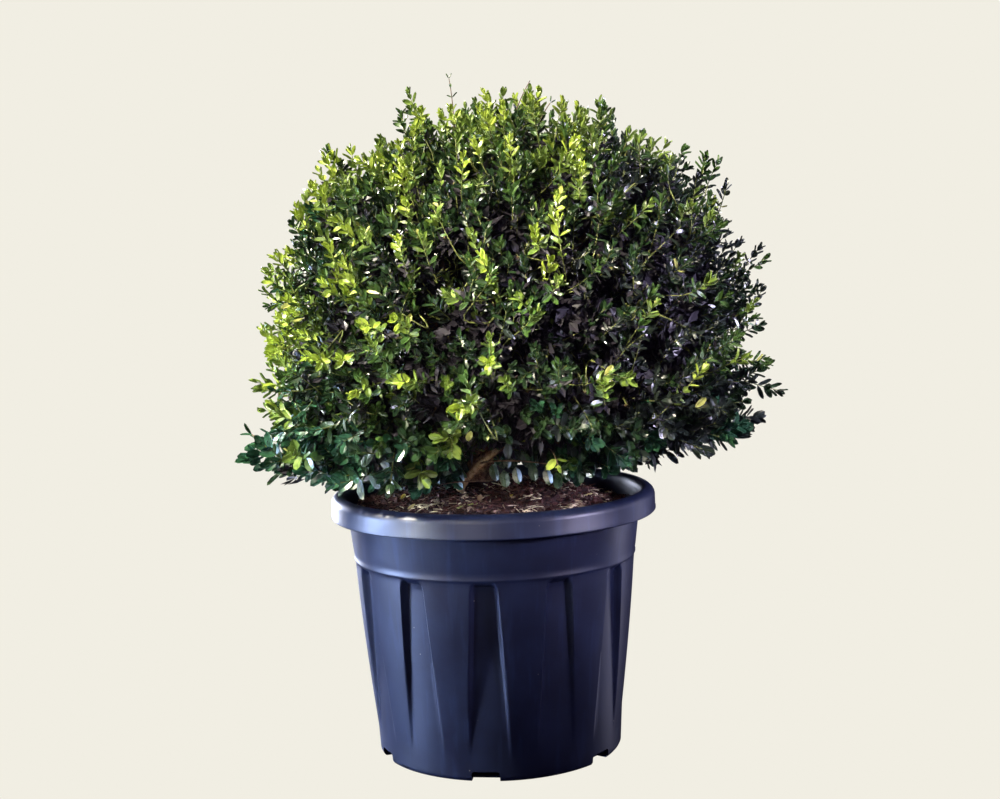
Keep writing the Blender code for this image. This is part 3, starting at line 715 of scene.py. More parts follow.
# A split crumb of bark: a cube with its corners cut and one end drawn in
def modelChip():
    bpy.ops.object.select_all(action="DESELECT")
    bpy.ops.mesh.primitive_cube_add(size=1)
    piece = bpy.context.object
    startEditing(piece)
    selectWhere(piece, lambda co: co.y > 0)
    bpy.ops.transform.resize(value=(0.55, 1, 0.6))
    bpy.ops.transform.translate(value=(0.12, 0, -0.08))
    selectWhere(piece, lambda co: co.x > 0 and co.z > 0)
    bpy.ops.transform.translate(value=(-0.16, 0.05, -0.10))
    bpy.ops.mesh.select_all(action="SELECT")
    bpy.ops.mesh.quads_convert_to_tris()
    stopEditing()
    shape, faces = vertexRows(piece), polygonRows(piece)
    removePiece(piece)
    return shape, faces


# Random places on the mound, clear of the trunk's foot and of the wall
def scatterPlaces(rng, count):
    edge = compostEdge() - 0.006
    places = []
    while len(places) < count:
        x, y = rng.uniform(-edge, edge, 2)
        away = math.hypot(x - trunk["foot"].x, y - trunk["foot"].y)
        if math.hypot(x, y) < edge and away > compost["seat"] * 0.75:
            places.append((x, y, compostHeight(x, y)))
    return np.array(places)


# A turned frame at each place, its Z axis within the tilt of straight up
def layFlat(rng, places, tilt):
    count = len(places)
    up = unit(np.column_stack((rng.normal(0, tilt, count), rng.normal(0, tilt, count), np.ones(count))))
    turn = rng.uniform(0, 2 * math.pi, count)
    along = np.column_stack((np.cos(turn), np.sin(turn), np.zeros(count)))
    along = unit(along - up * np.sum(along * up, axis=1, keepdims=True))
    return np.stack((places, np.cross(along, up), along, up), axis=1)


def makeChips():
    rng = np.random.default_rng(compost["seed"])
    shape, faces = modelChip()
    tints = (
        ("bark_crumbs_dark", [(0.5, "#1A0D0F"), (0.75, "#2D191A"), (0.95, "#482C2D")], 0.54),
        ("bark_crumbs_red", [(0.5, "#321817"), (0.75, "#4D2A29"), (0.95, "#6E4640")], 0.30),
        ("bark_crumbs_tan", [(0.5, "#5A4A40"), (0.75, "#8C7866"), (0.95, "#BEAE96")], 0.16),
    )
    for name, stops, share in tints:
        places = scatterPlaces(rng, int(compost["chips"] * share))
        count = len(places)
        frames = layFlat(rng, places, 0.5)
        length = rng.uniform(*compost["chipSize"], count)
        sizes = np.column_stack((length * rng.uniform(0.35, 0.7, count), length,
                                 length * rng.uniform(0.2, 0.45, count)))
        frames[:, 0, 2] += sizes[:, 2] * 0.15
        piece = joinedMesh(name, *copyShape(shape, faces, frames, sizes))
        shadeByAngle(piece, 20)
        dress(piece, grainyMaterial(name.replace("crumbs", "crumb_face"), stops, 6, 0.8, 0.9, 0.001),
              ["soil"])


# Peat fibres and bits of dry straw: short threads lying on the mound, the fibres more bent than the straws
def makeFibres():
    rng = np.random.default_rng(compost["seed"] + 1)
    kinds = (
        ("peat_fibres", compost["fibres"], (0.010, 0.030), 0.00045, 0.3,
         [(0.5, "#2A1512"), (0.75, "#4C2C24"), (0.95, "#7A5340")]),
        ("dry_straws", compost["straws"], (0.010, 0.024), 0.0007, 0.12,
         [(0.5, "#B3A684"), (0.75, "#D6CAA8"), (0.95, "#F2EBD2")]),
    )
    for name, count, lengths, radius, bow, stops in kinds:
        places = scatterPlaces(rng, count)
        if name == "dry_straws":
            heaps = np.repeat(np.array(compost["strawHeaps"]), compost["heapStraws"], axis=0)
            heaps = heaps + rng.normal(0, 0.007, heaps.shape)
            places = np.concatenate((places, [(x, y, compostHeight(x, y) + 0.002) for x, y in heaps]))
        count = len(places)
        turn = rng.uniform(0, 2 * math.pi, count)
        along = np.column_stack((np.cos(turn), np.sin(turn), rng.normal(0, 0.22, count)))
        across = np.column_stack((-np.sin(turn), np.cos(turn), np.zeros(count)))
        length = rng.uniform(*lengths, count)[:, None]
        start = places - along * length / 2 + np.array((0, 0, 0.0012))
        end = places + along * length / 2 + np.array((0, 0, 0.0012))
        bend = places + across * length * rng.normal(0, bow, (count, 1))
        bend[:, 2] += 0.002 + rng.uniform(0, 0.003, count)
        paths = curveRows([start, bend, end], 5)
        reach = np.hypot(paths[:, :, 0], paths[:, :, 1]).max(axis=1) < compostEdge() - 0.002
        paths = paths[reach]
        piece = joinedMesh(name, *tubeRows(paths, np.full(paths.shape[:2], radius), 3))
        dress(piece, grainyMaterial(name + "_skin", stops, 8, 1.0, 0.8, 0.0005), ["soil"])


makeMound()
makeChips()
makeFibres()
print("compost: mound,", compost["chips"], "crumbs and", compost["fibres"], "fibres")


crown = {
    "z": 0.493, "x": 0.022, "lean": 0.03, "radius": 0.281, "up": 0.257, "down": 0.168,
    "frontLift": 0.030, "frontNarrowing": 3, "powerUp": 2.3, "powerDown": 5.0,
    "hollow": 0.120, "hollowZ": 0.455, "hollowUp": 0.115, "massDepth": 0.70, "rimClearance": 0.006,
}

# Foliage masses: name, azimuth and elevation of the middle of each, in degrees
masses = (
    ("top", 0, 90),
    ("upper_front_right", 40, 40), ("upper_right", 112, 40), ("upper_back", 184, 40),
    ("upper_left", 256, 40), ("upper_front_left", 328, 40),
    ("lower_front", 5, -12), ("lower_front_right", 65, -12), ("lower_back_right", 125, -12),
    ("lower_back", 185, -12), ("lower_back_left", 245, -12), ("lower_front_left", 305, -12),
)

boughs = {
    "rootRadius": 0.0060, "leaderRadius": 0.0082, "tipRadius": 0.0034, "collar": 1.12,
    "leaderLead": 0.050, "upperLead": 0.025, "lowerLead": 0.035, "tipLead": 0.035,
    "crossing": "lower_front_right",
    "crossingPoints": (Vector((-0.030, -0.052, 0.345)), Vector((0.040, -0.060, 0.362))),
    # height above the foot, and turn from the mass's azimuth in degrees
    "roots": {
        "upper_front_right": (0.076, 0), "upper_right": (0.090, 0), "upper_back": (0.078, 0),
        "upper_left": (0.092, 0), "upper_front_left": (0.084, 0), "lower_front": (0.052, 0),
        "lower_front_right": (0.020, -100), "lower_back_right": (0.036, -6), "lower_back": (0.050, 0),
        "lower_back_left": (0.034, 0), "lower_front_left": (0.053, 0),
    },
    "bark": 0.0009,
}


def crownAxis(z):
    return crown["x"] + crown["lean"] * (z - crown["z"])


# 0 at the crown's middle, 1 on its clipped surface
def crownLevel(points):
    awayX = points[:, 0] - crownAxis(points[:, 2])
    flat = np.hypot(awayX, points[:, 1])
    rise = points[:, 2] - crown["z"]
    facing = np.maximum(0.0, -points[:, 1] / np.maximum(flat, 1e-9))
    half = np.where(rise >= 0, crown["up"],
                    crown["down"] - crown["frontLift"] * facing ** crown["frontNarrowing"])
    power = np.where(rise >= 0, crown["powerUp"], crown["powerDown"])
    return ((flat / crown["radius"]) ** power + (np.abs(rise) / half) ** power) ** (1 / power)


# Points at this level, from the crown's middle in these directions
def crownPoints(toward, level):
    middle = np.array((crown["x"], 0.0, crown["z"]))
    level = np.broadcast_to(level, len(toward))
    near = np.zeros(len(toward))
    far = np.full(len(toward), 0.6)
    for _ in range(26):
        half = (near + far) / 2
        inside = crownLevel(middle + toward * half[:, None]) < level
        near = np.where(inside, half, near)
        far = np.where(inside, far, half)
    return middle + toward * near[:, None]


def inHollow(points):
    flat = np.hypot(points[:, 0] - crownAxis(points[:, 2]), points[:, 1]) / crown["hollow"]
    rise = np.maximum(0.0, points[:, 2] - crown["hollowZ"]) / crown["hollowUp"]
    return np.hypot(flat, rise) < 1


def clearsPot(points):
    high = points[:, 2] > pot["height"] + crown["rimClearance"]
    return high | (np.hypot(points[:, 0], points[:, 1]) > pot["rim"] + crown["rimClearance"])


def trunkMiddle(height):
    share = height / (trunk["fork"].z - trunk["foot"].z)
    sway = math.sin(math.pi * share) * trunk["sway"]
    return trunk["foot"].lerp(trunk["fork"], share) - Vector((0, sway, 0))


# Radius of the trunk, with the lobes of its root flare
def trunkRadius(height, azimuth):
    taper = mix(trunk["footRadius"], trunk["forkRadius"], height / (trunk["fork"].z - trunk["foot"].z))
    flare = trunk["flare"] * math.exp(-height / trunk["flareHeight"])
    lobe = math.cos(trunk["lobes"] * (azimuth - trunk["lobeTurn"])) - 1
    return taper + flare * (1 + trunk["lobeDepth"] * lobe)


def massCentres():
    rows = directionRows(np.radians([m[1] for m in masses]), np.radians([m[2] for m in masses]))
    return crownPoints(rows, crown["massDepth"])


def hollowExit(start, end):
    near, far = 0.0, 1.0
    for _ in range(24):
        half = (near + far) / 2
        if inHollow(np.array([start.lerp(end, half)]))[0]:
            near = half
        else:
            far = half
    return start.lerp(end, near)


def boughRoot(height, azimuth, radius):
    middle = trunkMiddle(height)
    toward = direction(azimuth)
    reach = 0.0
    for rim in (-radius, 0.0, radius):
        lean = (trunkMiddle(height + rim) - middle).dot(toward)
        reach = max(reach, lean + trunkRadius(height + rim, azimuth))
    return middle + toward * (reach + gap)


# The four control points of a bough's curve, and its root radius
def boughControls(name, azimuth, elevation, centre):
    if name in boughs["roots"]:
        height, turn = boughs["roots"][name]
        radius = boughs["rootRadius"]
        first = direction(math.radians(azimuth + turn))
        start = boughRoot(height, math.radians(azimuth + turn), radius * boughs["collar"])
        lead = boughs["upperLead"] if elevation > 0 else boughs["lowerLead"]
    else:
        radius = boughs["leaderRadius"]
        first = Vector((0, 0, 1))
        start = trunk["fork"] + first * gap
        lead = boughs["leaderLead"]
    crossing = name == boughs["crossing"]
    entry = hollowExit(trunk["fork"] if crossing else start, centre)
    last = (centre - entry).normalized()
    if crossing:
        return [start, *boughs["crossingPoints"], entry - last * boughs["tipLead"], entry], radius, last
    return [start, start + first * lead, entry - last * boughs["tipLead"], entry], radius, last


def barkMaterial():
    # Bark of an old clipped shrub: matt, pale grey-brown plates over darker cracks
    return grainyMaterial("grey_brown_shrub_bark",
                          [(0.45, "#2E2018"), (0.68, "#6E5340"), (0.90, "#A98A6C")], 5, 1.1, 0.88, 0.0012)


# Long plates and cracks, cut along the limb: lengthwise is how much longer they are than wide
def roughenBark(piece, depth, lengthwise):
    relief = bpy.data.textures.new(piece.name + " relief", "VORONOI")
    relief.noise_scale = 0.0065
    relief.distance_metric = "DISTANCE"
    relief.weight_1 = 1.0
    knots = bpy.data.textures.new(piece.name + " knots", "CLOUDS")
    knots.noise_scale = 0.016
    applyModifier(piece, "DISPLACE", texture=relief, texture_coords="LOCAL", strength=depth, mid_level=0.35)
    applyModifier(piece, "DISPLACE", texture=knots, texture_coords="LOCAL", strength=depth * lengthwise,
                  mid_level=0.5)


def makeTrunk(bark):
    bpy.ops.object.select_all(action="DESELECT")
    bpy.ops.mesh.primitive_circle_add(vertices=trunk["sides"], radius=1.0, fill_type="NGON")
    piece = bpy.context.object
    piece.name = piece.data.name = "trunk_bark"
    startEditing(piece)
    bpy.ops.mesh.select_all(action="SELECT")
    for _ in range(trunk["rings"]):
        bpy.ops.mesh.extrude_region_move(TRANSFORM_OT_translate={"value": (0, 0, 1.0 / trunk["rings"])})
    closeShell()
    rows = vertexRows(piece)
    length = trunk["fork"].z - trunk["foot"].z
    for row in rows:
        share = row[2] ** 1.3
        azimuth = math.atan2(row[0], -row[1])
        flat = math.hypot(row[0], row[1])
        crack = abs(noise.noise(Vector((math.sin(azimuth) * 3.2, math.cos(azimuth) * 3.2, share * 5))))
        out = trunkRadius(share * length, azimuth) * flat - trunk["bark"] * (1 - 2.2 * crack) * flat
        row[:] = trunkMiddle(share * length) + direction(azimuth) * out
    setVertexRows(piece, rows)
    shadeByAngle(piece, 60)
    dress(piece, bark, ["trunk"])


# One limb along a path: a bevelled curve made solid, then given its bark relief
def makeLimb(name, rows, radii, bark, node):
    bpy.ops.object.select_all(action="DESELECT")
    bpy.ops.curve.primitive_nurbs_path_add()
    piece = bpy.context.object
    piece.name = piece.data.name = name + "_bark"
    data = piece.data
    data.splines.clear()
    spline = data.splines.new("POLY")
    spline.points.add(len(rows) - 1)
    for i, (point, row, size) in enumerate(zip(spline.points, rows, radii)):
        point.co = (*row, 1)
        point.radius = size / radii[1] * (1 + 0.10 * noise.noise(Vector((i * 0.45, rows[-1][0] * 90, 0))))
    data.dimensions = "3D"
    data.bevel_depth = radii[1]
    data.bevel_resolution = 5
    data.use_fill_caps = True
    makeActive(piece)
    bpy.ops.object.convert(target="MESH")
    piece = bpy.context.object
    applyModifier(piece, "SUBSURF", subdivision_type="SIMPLE", levels=1, render_levels=1)
    roughenBark(piece, boughs["bark"], 1.6)
    shadeByAngle(piece, 60)
    dress(piece, bark, [node])


# A tapering main bough. Returns its path and radii for the twigs
def makeBough(name, azimuth, elevation, centre, bark):
    controls, radius, last = boughControls(name, azimuth, elevation, centre)
    rows = curveRows([np.array([c]) for c in controls], 24)[0]
    radii = np.linspace(radius, boughs["tipRadius"], len(rows))
    radii[0] *= boughs["collar"]
    makeLimb("bough_" + name, rows, radii, bark, "bough_" + name)
    return rows, radii, last


# A slender limb that rises out of the compost and forks with the crossing bough; its pale young bark is
# painted lighter still as a lit highlight
crossingFork = {
    "points": ((-0.038, -0.072, 0.317), (-0.024, -0.076, 0.338),
               (-0.006, -0.080, 0.360), (0.032, -0.094, 0.380)),
    "radii": (0.0044, 0.0028),
}


def makeCrossingFork():
    rows = curveRows([np.array([point]) for point in crossingFork["points"]], 16)[0]
    # Pale young bark, its lighter stops partly a painted highlight for the light on this limb
    pale = grainyMaterial("pale_young_bark_painted_lit", [(0.45, "#5E4732"), (0.68, "#AB8A66"), (0.90, "#DCC29E")],
                          5, 1.1, 0.85, 0.0010)
    makeLimb("crossing_fork", rows, np.linspace(*crossingFork["radii"], len(rows)), pale,
             "bough_" + boughs["crossing"])


bark = barkMaterial()
centres = massCentres()
makeTrunk(bark)
limbs = [makeBough(name, azimuth, elevation, Vector(centre), bark)
         for (name, azimuth, elevation), centre in zip(masses, centres)]
makeCrossingFork()
print("limbs: trunk and", len(limbs), "boughs")


# Outlines of the two leaf shapes: (place along the leaf, width) of each row, then how it folds and curls
leafShapes = {
    "young": {"rows": ((0.28, 0.78), (0.60, 1.0), (0.88, 0.60)), "keel": 0.14, "curl": 0.03},
    "old": {"rows": ((0.26, 0.82), (0.56, 1.0), (0.86, 0.72)), "keel": 0.09, "curl": 0.07},
}


# An open leaf blade one unit long and one wide, root at the origin: folded on its midrib
def modelLeaf(name, rows, keel, curl):
    steps = len(rows) + 1
    bpy.ops.object.select_all(action="DESELECT")
    bpy.ops.mesh.primitive_grid_add(x_subdivisions=2, y_subdivisions=steps, size=1, location=(0, 0.5, 0))
    piece = bpy.context.object
    piece.name = name
    bpy.ops.object.transform_apply(location=True, rotation=True, scale=True)
    startEditing(piece)
    # The last row moves first, so that no two rows pass each other
    for number, (place, width) in reversed(list(enumerate(((0.0, 0.0), *rows, (1.0, 0.0))))):
        now = number / steps
        selectWhere(piece, lambda co: abs(co.y - now) < 0.01)
        bpy.ops.transform.resize(value=(max(width, 0.001), 1, 1), center_override=(0, now, 0))
        bpy.ops.transform.translate(value=(0, place - now, -curl * place ** 3))
        if width == 0.0:
            bpy.ops.mesh.merge(type="CENTER")
    selectWhere(piece, lambda co: abs(co.x) < 0.02 and 0.05 < co.y < 0.95)
    bpy.ops.transform.translate(value=(0, 0, -keel))
    stopEditing()
    shape, faces = vertexRows(piece), polygonRows(piece)
    removePiece(piece)
    return shape, faces


# Marks the edges that run along the midrib of every copied leaf
def midribPairs(shape):
    onRib = np.abs(shape[:, 0]) < 0.02
    size = len(shape)

    def test(ends):
        return onRib[ends[:, 0] % size] & onRib[ends[:, 1] % size]
    return test


youngLeaf = modelLeaf("young leaf", **leafShapes["young"])
oldLeaf = modelLeaf("old leaf", **leafShapes["old"])
scrapLeaf = (np.array([(0.0, 0.0, 0.0), (0.5, 0.5, 0.0), (-0.5, 0.5, 0.0),
                       (0.0, 1.0, -0.04), (0.0, 0.5, -0.10)]),
             [[0, 1, 4], [1, 3, 4], [3, 2, 4], [2, 0, 4]])
print("leaf:", len(youngLeaf[0]), "points,", len(youngLeaf[1]), "faces")


growth = {
    "hubs": 46, "hubDepth": 0.66, "forks": 440, "forkDepth": 0.82, "seed": 23,
    "shoots": 3500, "lowest": -0.90, "skirtOut": (0.350, 0.368), "skirtIn": 0.328,
    "backReach": 0.270, "set": -0.043, "strays": 0.058, "strayPower": 2.0, "lumpPitch": 0.045,
    "lumpDepth": 0.011, "lift": (0.28, 0.55), "wander": 0.32, "length": (0.036, 0.062), "lowLength": 1.25,
    "bow": 0.12, "droop": 0.10, "lowBelow": 0.47, "lowRange": 0.14,
    "hollowBelow": -0.20, "hollowDepth": 0.056, "hollowThinning": 0.75,
    "gapSides": (-0.036, 0.076), "gapBack": -0.028, "gapTop": 0.3645, "gapRise": 0.13,
    "stemRadii": (0.0034, 0.0030), "limbRadii": (0.0030, 0.0019), "forkRadii": (0.0018, 0.0012),
    "shootRadii": (0.0011, 0.0005),
    "pairs": 7, "oldPairs": 3, "pitch": (0.0045, 0.0070), "limbClearance": 0.002,
}

# Where shoots stand out of the clipped surface or fall short: azimuth, elevation, width in degrees, reach
swells = (
    (-90, 72, 6, 0.034), (-90, 60, 9, -0.014), (90, 50, 12, -0.022), (92, 39, 5, 0.040), (20, 80, 7, 0.010),
    (-88, 42, 7, 0.016), (-90, 12, 16, -0.015), (90, 10, 14, 0.012),
    (-84, -20, 7, 0.022), (-96, -8, 5, 0.018),
    (-74, -27, 7, 0.026), (84, -13, 6, 0.028), (180, -34, 22, 0.040),
    (140, -34, 18, 0.036), (-140, -34, 18, 0.036), (-40, -36, 14, 0.030),
)

# Openings between the clusters: azimuth, elevation and half width in degrees
openings = ((-15, 17, 5), (16, 22, 6), (15, 6, 6), (29, 27, 5), (-9, 9, 4), (1, 0, 4), (41, 7, 6), (19, 0, 5),
            (40, 17, 5), (9, 18, 4), (30, -4, 5), (-33, 37, 3.5), (-20, -14, 4), (60, 12, 5), (-48, 6, 3.5))


# The angle in degrees between each direction and one azimuth and elevation
def awayFrom(toward, azimuth, elevation):
    middle = np.array(direction(math.radians(azimuth), math.radians(elevation)))
    return np.degrees(np.arccos(np.clip(toward @ middle, -1, 1)))


def swellReach(toward):
    return sum(reach * np.exp(-((awayFrom(toward, azimuth, elevation) / width) ** 2))
               for azimuth, elevation, width, reach in swells)


# 0 on a closed part of the crown, 1 in the middle of an opening
def openingDepth(toward):
    depth = np.zeros(len(toward))
    for azimuth, elevation, half in openings:
        depth = np.maximum(depth, 1 - smooth((awayFrom(toward, azimuth, elevation) / half - 0.6) / 0.7))
    return depth


# The number of the nearest target for each point
def nearest(points, targets):
    return np.argmin(np.linalg.norm(points[:, None, :] - targets[None, :, :], axis=2), axis=1)


# True where a point keeps off the trunk and every bough
def limbClear(points):
    clear = np.ones(len(points), bool)
    tubes = [(rows, radii) for rows, radii, _ in limbs]
    heights = np.linspace(0, trunk["fork"].z - trunk["foot"].z, 8)
    tubes.append((np.array([trunkMiddle(h) for h in heights]), np.full(len(heights), trunk["footRadius"])))
    for rows, radii in tubes:
        for a, b, radius in zip(rows[::2], rows[2::2], radii[::2]):
            along = b - a
            share = np.clip((points - a) @ along / (along @ along), 0, 1)
            away = np.linalg.norm(points - a - share[:, None] * along, axis=1)
            clear &= away > radius + growth["limbClearance"]
    return clear


# Stems, limbs and forks: each tier starts from the nearest end of the tier before, in its own mass
def growTwigs(rng):
    hubs = crownPoints(goldenDirections(growth["hubs"], 1.1), growth["hubDepth"])
    hubs = hubs[~inHollow(hubs)]
    hubMass = nearest(hubs, centres)
    stems = []
    for (rows, _, last), centre in zip(limbs, centres):
        start = rows[-1] + np.array(last) * gap
        stems.append((start, start + np.array(last) * 0.012, centre))
    stems = np.array(stems)
    stemPaths = curveRows([stems[:, 0], stems[:, 1], stems[:, 2]], 5)
    start = centres[hubMass]
    middle = mix(start, hubs, 0.5) - np.array((0, 0, 0.008)) + rng.normal(0, 0.004, hubs.shape)
    limbPaths = curveRows([start, middle, hubs], 5)

    toward = unit(goldenDirections(growth["forks"], 0.2) + rng.normal(0, 0.03, (growth["forks"], 3)))
    toward = toward[toward[:, 2] > growth["lowest"]]
    forks = crownPoints(toward, growth["forkDepth"] + rng.uniform(-0.05, 0.03, len(toward)))
    forkMass = nearest(forks, centres)
    away = np.linalg.norm(forks[:, None, :] - hubs[None, :, :], axis=2)
    away += np.where(forkMass[:, None] == hubMass[None, :], 0.0, 1.0)
    home = hubs[np.argmin(away, axis=1)]
    keep = clearsPot(forks) & ~inHollow(forks) & limbClear(forks)
    forks, home, forkMass = forks[keep], home[keep], forkMass[keep]
    middle = mix(home, forks, 0.5) - np.array((0, 0, 0.010)) + rng.normal(0, 0.005, forks.shape)
    forkPaths = curveRows([home, middle, forks], 6)
    return stemPaths, limbPaths, forkPaths, forks, forkMass


# True in the wedge under the front where the crossing bough shows: its top rises towards the front
def inFrontGap(points):
    left, right = growth["gapSides"]
    across = (points[:, 0] > left) & (points[:, 0] < right)
    ceiling = growth["gapTop"] - growth["gapRise"] * points[:, 1]
    return across & (points[:, 1] < growth["gapBack"]) & (points[:, 2] < ceiling)


# The lowest a tip may hang: lower over the compost than outside the rim, where the skirt rises towards +X
def skirtHeight(points):
    outside = smooth((np.hypot(points[:, 0], points[:, 1]) - 0.175) / 0.035)
    left, right = growth["skirtOut"]
    return mix(growth["skirtIn"], mix(left, right, smooth((points[:, 0] + 0.10) / 0.25)), outside)


# The leafy ends: their tips, headings and bows, and the twig that carries each
def growShoots(rng, forks, forkMass):
    toward = unit(goldenDirections(growth["shoots"], 0.4) + rng.normal(0, 0.012, (growth["shoots"], 3)))
    toward = toward[toward[:, 2] > growth["lowest"]]
    surface = crownPoints(toward, 1.0)
    away = unit(surface - np.array((crown["x"], 0, crown["z"])))
    lump = noiseRows(surface, growth["lumpPitch"])
    stray = growth["set"] + growth["strays"] * rng.uniform(0, 1, len(toward)) ** growth["strayPower"]
    depth = stray + lump * growth["lumpDepth"] + swellReach(toward)
    deep = np.maximum(openingDepth(toward), smooth((-lump + growth["hollowBelow"]) / 0.15))
    sparse = rng.uniform(0, 1, len(toward)) < 1 - growth["hollowThinning"] * deep
    depth -= growth["hollowDepth"] * deep * rng.uniform(0.7, 1.3, len(toward))
    up = np.array((0.0, 0.0, 1.0))
    lift = growth["lift"][0] + growth["lift"][1] * smooth((away[:, 2] + 0.55) / 1.1)
    heading = unit(away + up * lift[:, None] + rng.normal(0, growth["wander"], away.shape))
    tips = surface + away * depth[:, None]
    tips[:, 1] = np.minimum(tips[:, 1], growth["backReach"])
    low = smooth((growth["lowBelow"] - tips[:, 2]) / growth["lowRange"])
    length = rng.uniform(*growth["length"], len(toward)) * mix(1.0, growth["lowLength"], low)
    bow = rng.normal(0, growth["bow"], away.shape) - up * growth["droop"]
    mass = nearest(surface, centres)
    below = tips - heading * length[:, None] * 1.2
    distance = np.linalg.norm(below[:, None, :] - forks[None, :, :], axis=2)
    distance += np.where(mass[:, None] == forkMass[None, :], 0.0, 1.0)
    home = forks[np.argmin(distance, axis=1)]
    keep = sparse & clearsPot(tips) & clearsPot(tips - heading * length[:, None]) & limbClear(tips)
    keep &= (tips[:, 2] > skirtHeight(tips)) & ~inFrontGap(tips)
    keep &= ~inFrontGap(tips - heading * length[:, None] / 2)
    rows = [part[keep] for part in (tips, heading, length, bow, home, low, stray)]
    return dict(zip(("tips", "heading", "length", "bow", "home", "low", "stray"), rows))


# The place on each shoot's leafy part at this share of its length below the tip
def shootPlace(shoots, share):
    back = shoots["length"][:, None] * share
    return shoots["tips"] - shoots["heading"] * back - shoots["bow"] * back * share


def shootHeading(shoots, share):
    return unit(shoots["heading"] + 2 * shoots["bow"] * share)


def makeTwigs():
    rng = np.random.default_rng(growth["seed"])
    stemPaths, limbPaths, forkPaths, forks, forkMass = growTwigs(rng)
    shoots = growShoots(rng, forks, forkMass)
    start = shootPlace(shoots, 1.0)
    pull = shootHeading(shoots, 1.0) * shoots["length"][:, None] * 0.5
    carriers = curveRows([shoots["home"], mix(shoots["home"], start - pull, 0.6), start - pull, start], 5)
    leafy = np.stack([shootPlace(shoots, share) for share in (0.75, 0.5, 0.25, 0.0)], axis=1)
    shootPaths = np.concatenate((carriers, leafy), axis=1)
    woody = grainyMaterial("brown_twig_bark", [(0.45, "#2A2018"), (0.68, "#5A4634"), (0.90, "#8C7458")],
                           6, 1.0, 0.85, 0.0004)
    green = grainyMaterial("green_shoot_skin", [(0.45, "#3A3A1C"), (0.68, "#5C6630"), (0.90, "#8A8E4C")],
                           8, 1.0, 0.6, 0.0003)
    parts = (
        ("stems", stemPaths, growth["stemRadii"], 7, woody),
        ("limb_twigs", limbPaths, growth["limbRadii"], 6, woody),
        ("fork_twigs", forkPaths, growth["forkRadii"], 5, woody),
        ("leafy_shoots", shootPaths, growth["shootRadii"], 3, green),
    )
    for name, paths, (thick, thin), sides, material in parts:
        radii = np.broadcast_to(np.linspace(thick, thin, paths.shape[1]), paths.shape[:2])
        dress(joinedMesh(name, *tubeRows(paths, radii, sides)), material, foliageNodes)
    return shoots, limbPaths, forkPaths, woody


shoots, limbPaths, forkPaths, woody = makeTwigs()
print("twigs:", len(forkPaths), "forks and", len(shoots["tips"]), "shoots")


leafLook = {
    "young": (0.0135, 0.0062), "old": (0.0220, 0.0124),
    "spreadTip": math.radians(20), "spreadFoot": math.radians(64),
    "towardLight": 0.14, "unevenness": 0.38, "yellowShare": 0.006, "seed": 31,
    "grown": (0.55, 0.74, 0.90, 1.0),  # the size of the bud's leaf, then of each pair below it
    "size": (0.78, 1.18), "breadth": (0.85, 1.15), "bend": (-0.08, 0.14),
    "innerEach": 125, "limbEach": 240, "innerLength": (0.014, 0.022), "innerSpread": (0.6, 1.3),
    "innerWidth": 0.55, "innerBend": (-0.06, 0.1), "broadFrom": 0.012,
    # how far down a shoot older leaves start, how far down the lowest start that take the violet-black
    # painted shade of the inner leaves, and where yellowed ones end, and the shares kept by half
    "olderFrom": 0.35, "innerShadeFrom": 0.72, "yellowTo": 0.6, "kept": (0.96, 0.86),
}

# Upper and lower colours, roughness, share of light let through
leafTints = {
    "lime": ("#B4C64E", "#93A93C", 0.34, 0.11),
    "yellowGreen": ("#7C923E", "#5F7830", 0.32, 0.07),
    "fresh": ("#4C6A2E", "#375424", 0.30, 0.05),
    "deep": ("#2C4524", "#1E321B", 0.27, 0.03),
    "blueGreen": ("#335E40", "#21432D", 0.24, 0.04),
    # shade: a dull dark grey-green that paints shade on leaves on the right, under the crown and at the back
    "shade": ("#2B352D", "#1F2724", 0.32, 0.05),
    "yellowed": ("#D2D27E", "#BDBD68", 0.40, 0.24),
    # inner: a violet-black that paints the shade deep inside the crown
    "inner": ("#190F20", "#110A17", 0.75, 0.0),
}
tintOrder = list(leafTints)
# Older leaves down a shoot take a darker tint, the darkest of them the painted shade tint
olderTint = {"lime": "yellowGreen", "yellowGreen": "fresh", "fresh": "deep", "deep": "shade",
             "blueGreen": "deep", "shade": "shade", "yellowed": "yellowGreen", "inner": "inner"}


# Frames of leaves at these places: Y along the leaf, Z out of its upper face
def leafFrames(rng, places, heading, spread, turn):
    count = len(places)
    least = np.eye(3)[np.argmin(np.abs(heading), axis=1)]
    side = unit(np.cross(heading, least))
    other = np.cross(heading, side)
    out = side * np.cos(turn)[:, None] + other * np.sin(turn)[:, None]
    along = heading * np.cos(spread)[:, None] + out * np.sin(spread)[:, None]
    along = unit(along + rng.normal(0, 0.13, (count, 3)))
    facing = heading * np.sin(spread)[:, None] - out * np.cos(spread)[:, None]
    light = unit(np.array([(-0.35, -0.35, 0.87)]))
    facing = facing + light * leafLook["towardLight"] + rng.normal(0, leafLook["unevenness"], (count, 3))
    facing = unit(facing - along * np.sum(facing * along, axis=1, keepdims=True))
    return np.stack((places, np.cross(along, facing), along, facing), axis=1)


# What makes a shoot's tint bright, the brightness from which each tint is dealt, and the shares of two more
tone = {
    "middle": 0.26, "patches": 0.50, "patchPitch": 0.060, "height": 0.2, "scatter": 0.18,
    # right and shadeRight darken the right-hand side as painted shade; stray brightens shoots that stand out
    # and darkens sunk ones, partly as painted shade
    "stray": 11.0, "strayFrom": -0.026, "lowStray": 0.7, "low": 0.12, "right": 0.34,
    "steps": (("fresh", 0.24), ("yellowGreen", 0.42), ("lime", 0.64)),
    "bluishLow": 0.75, "bluishLeft": 0.35, "bluishBelow": 0.46, "shadeRight": 0.55, "shadeBelow": 0.30,
}
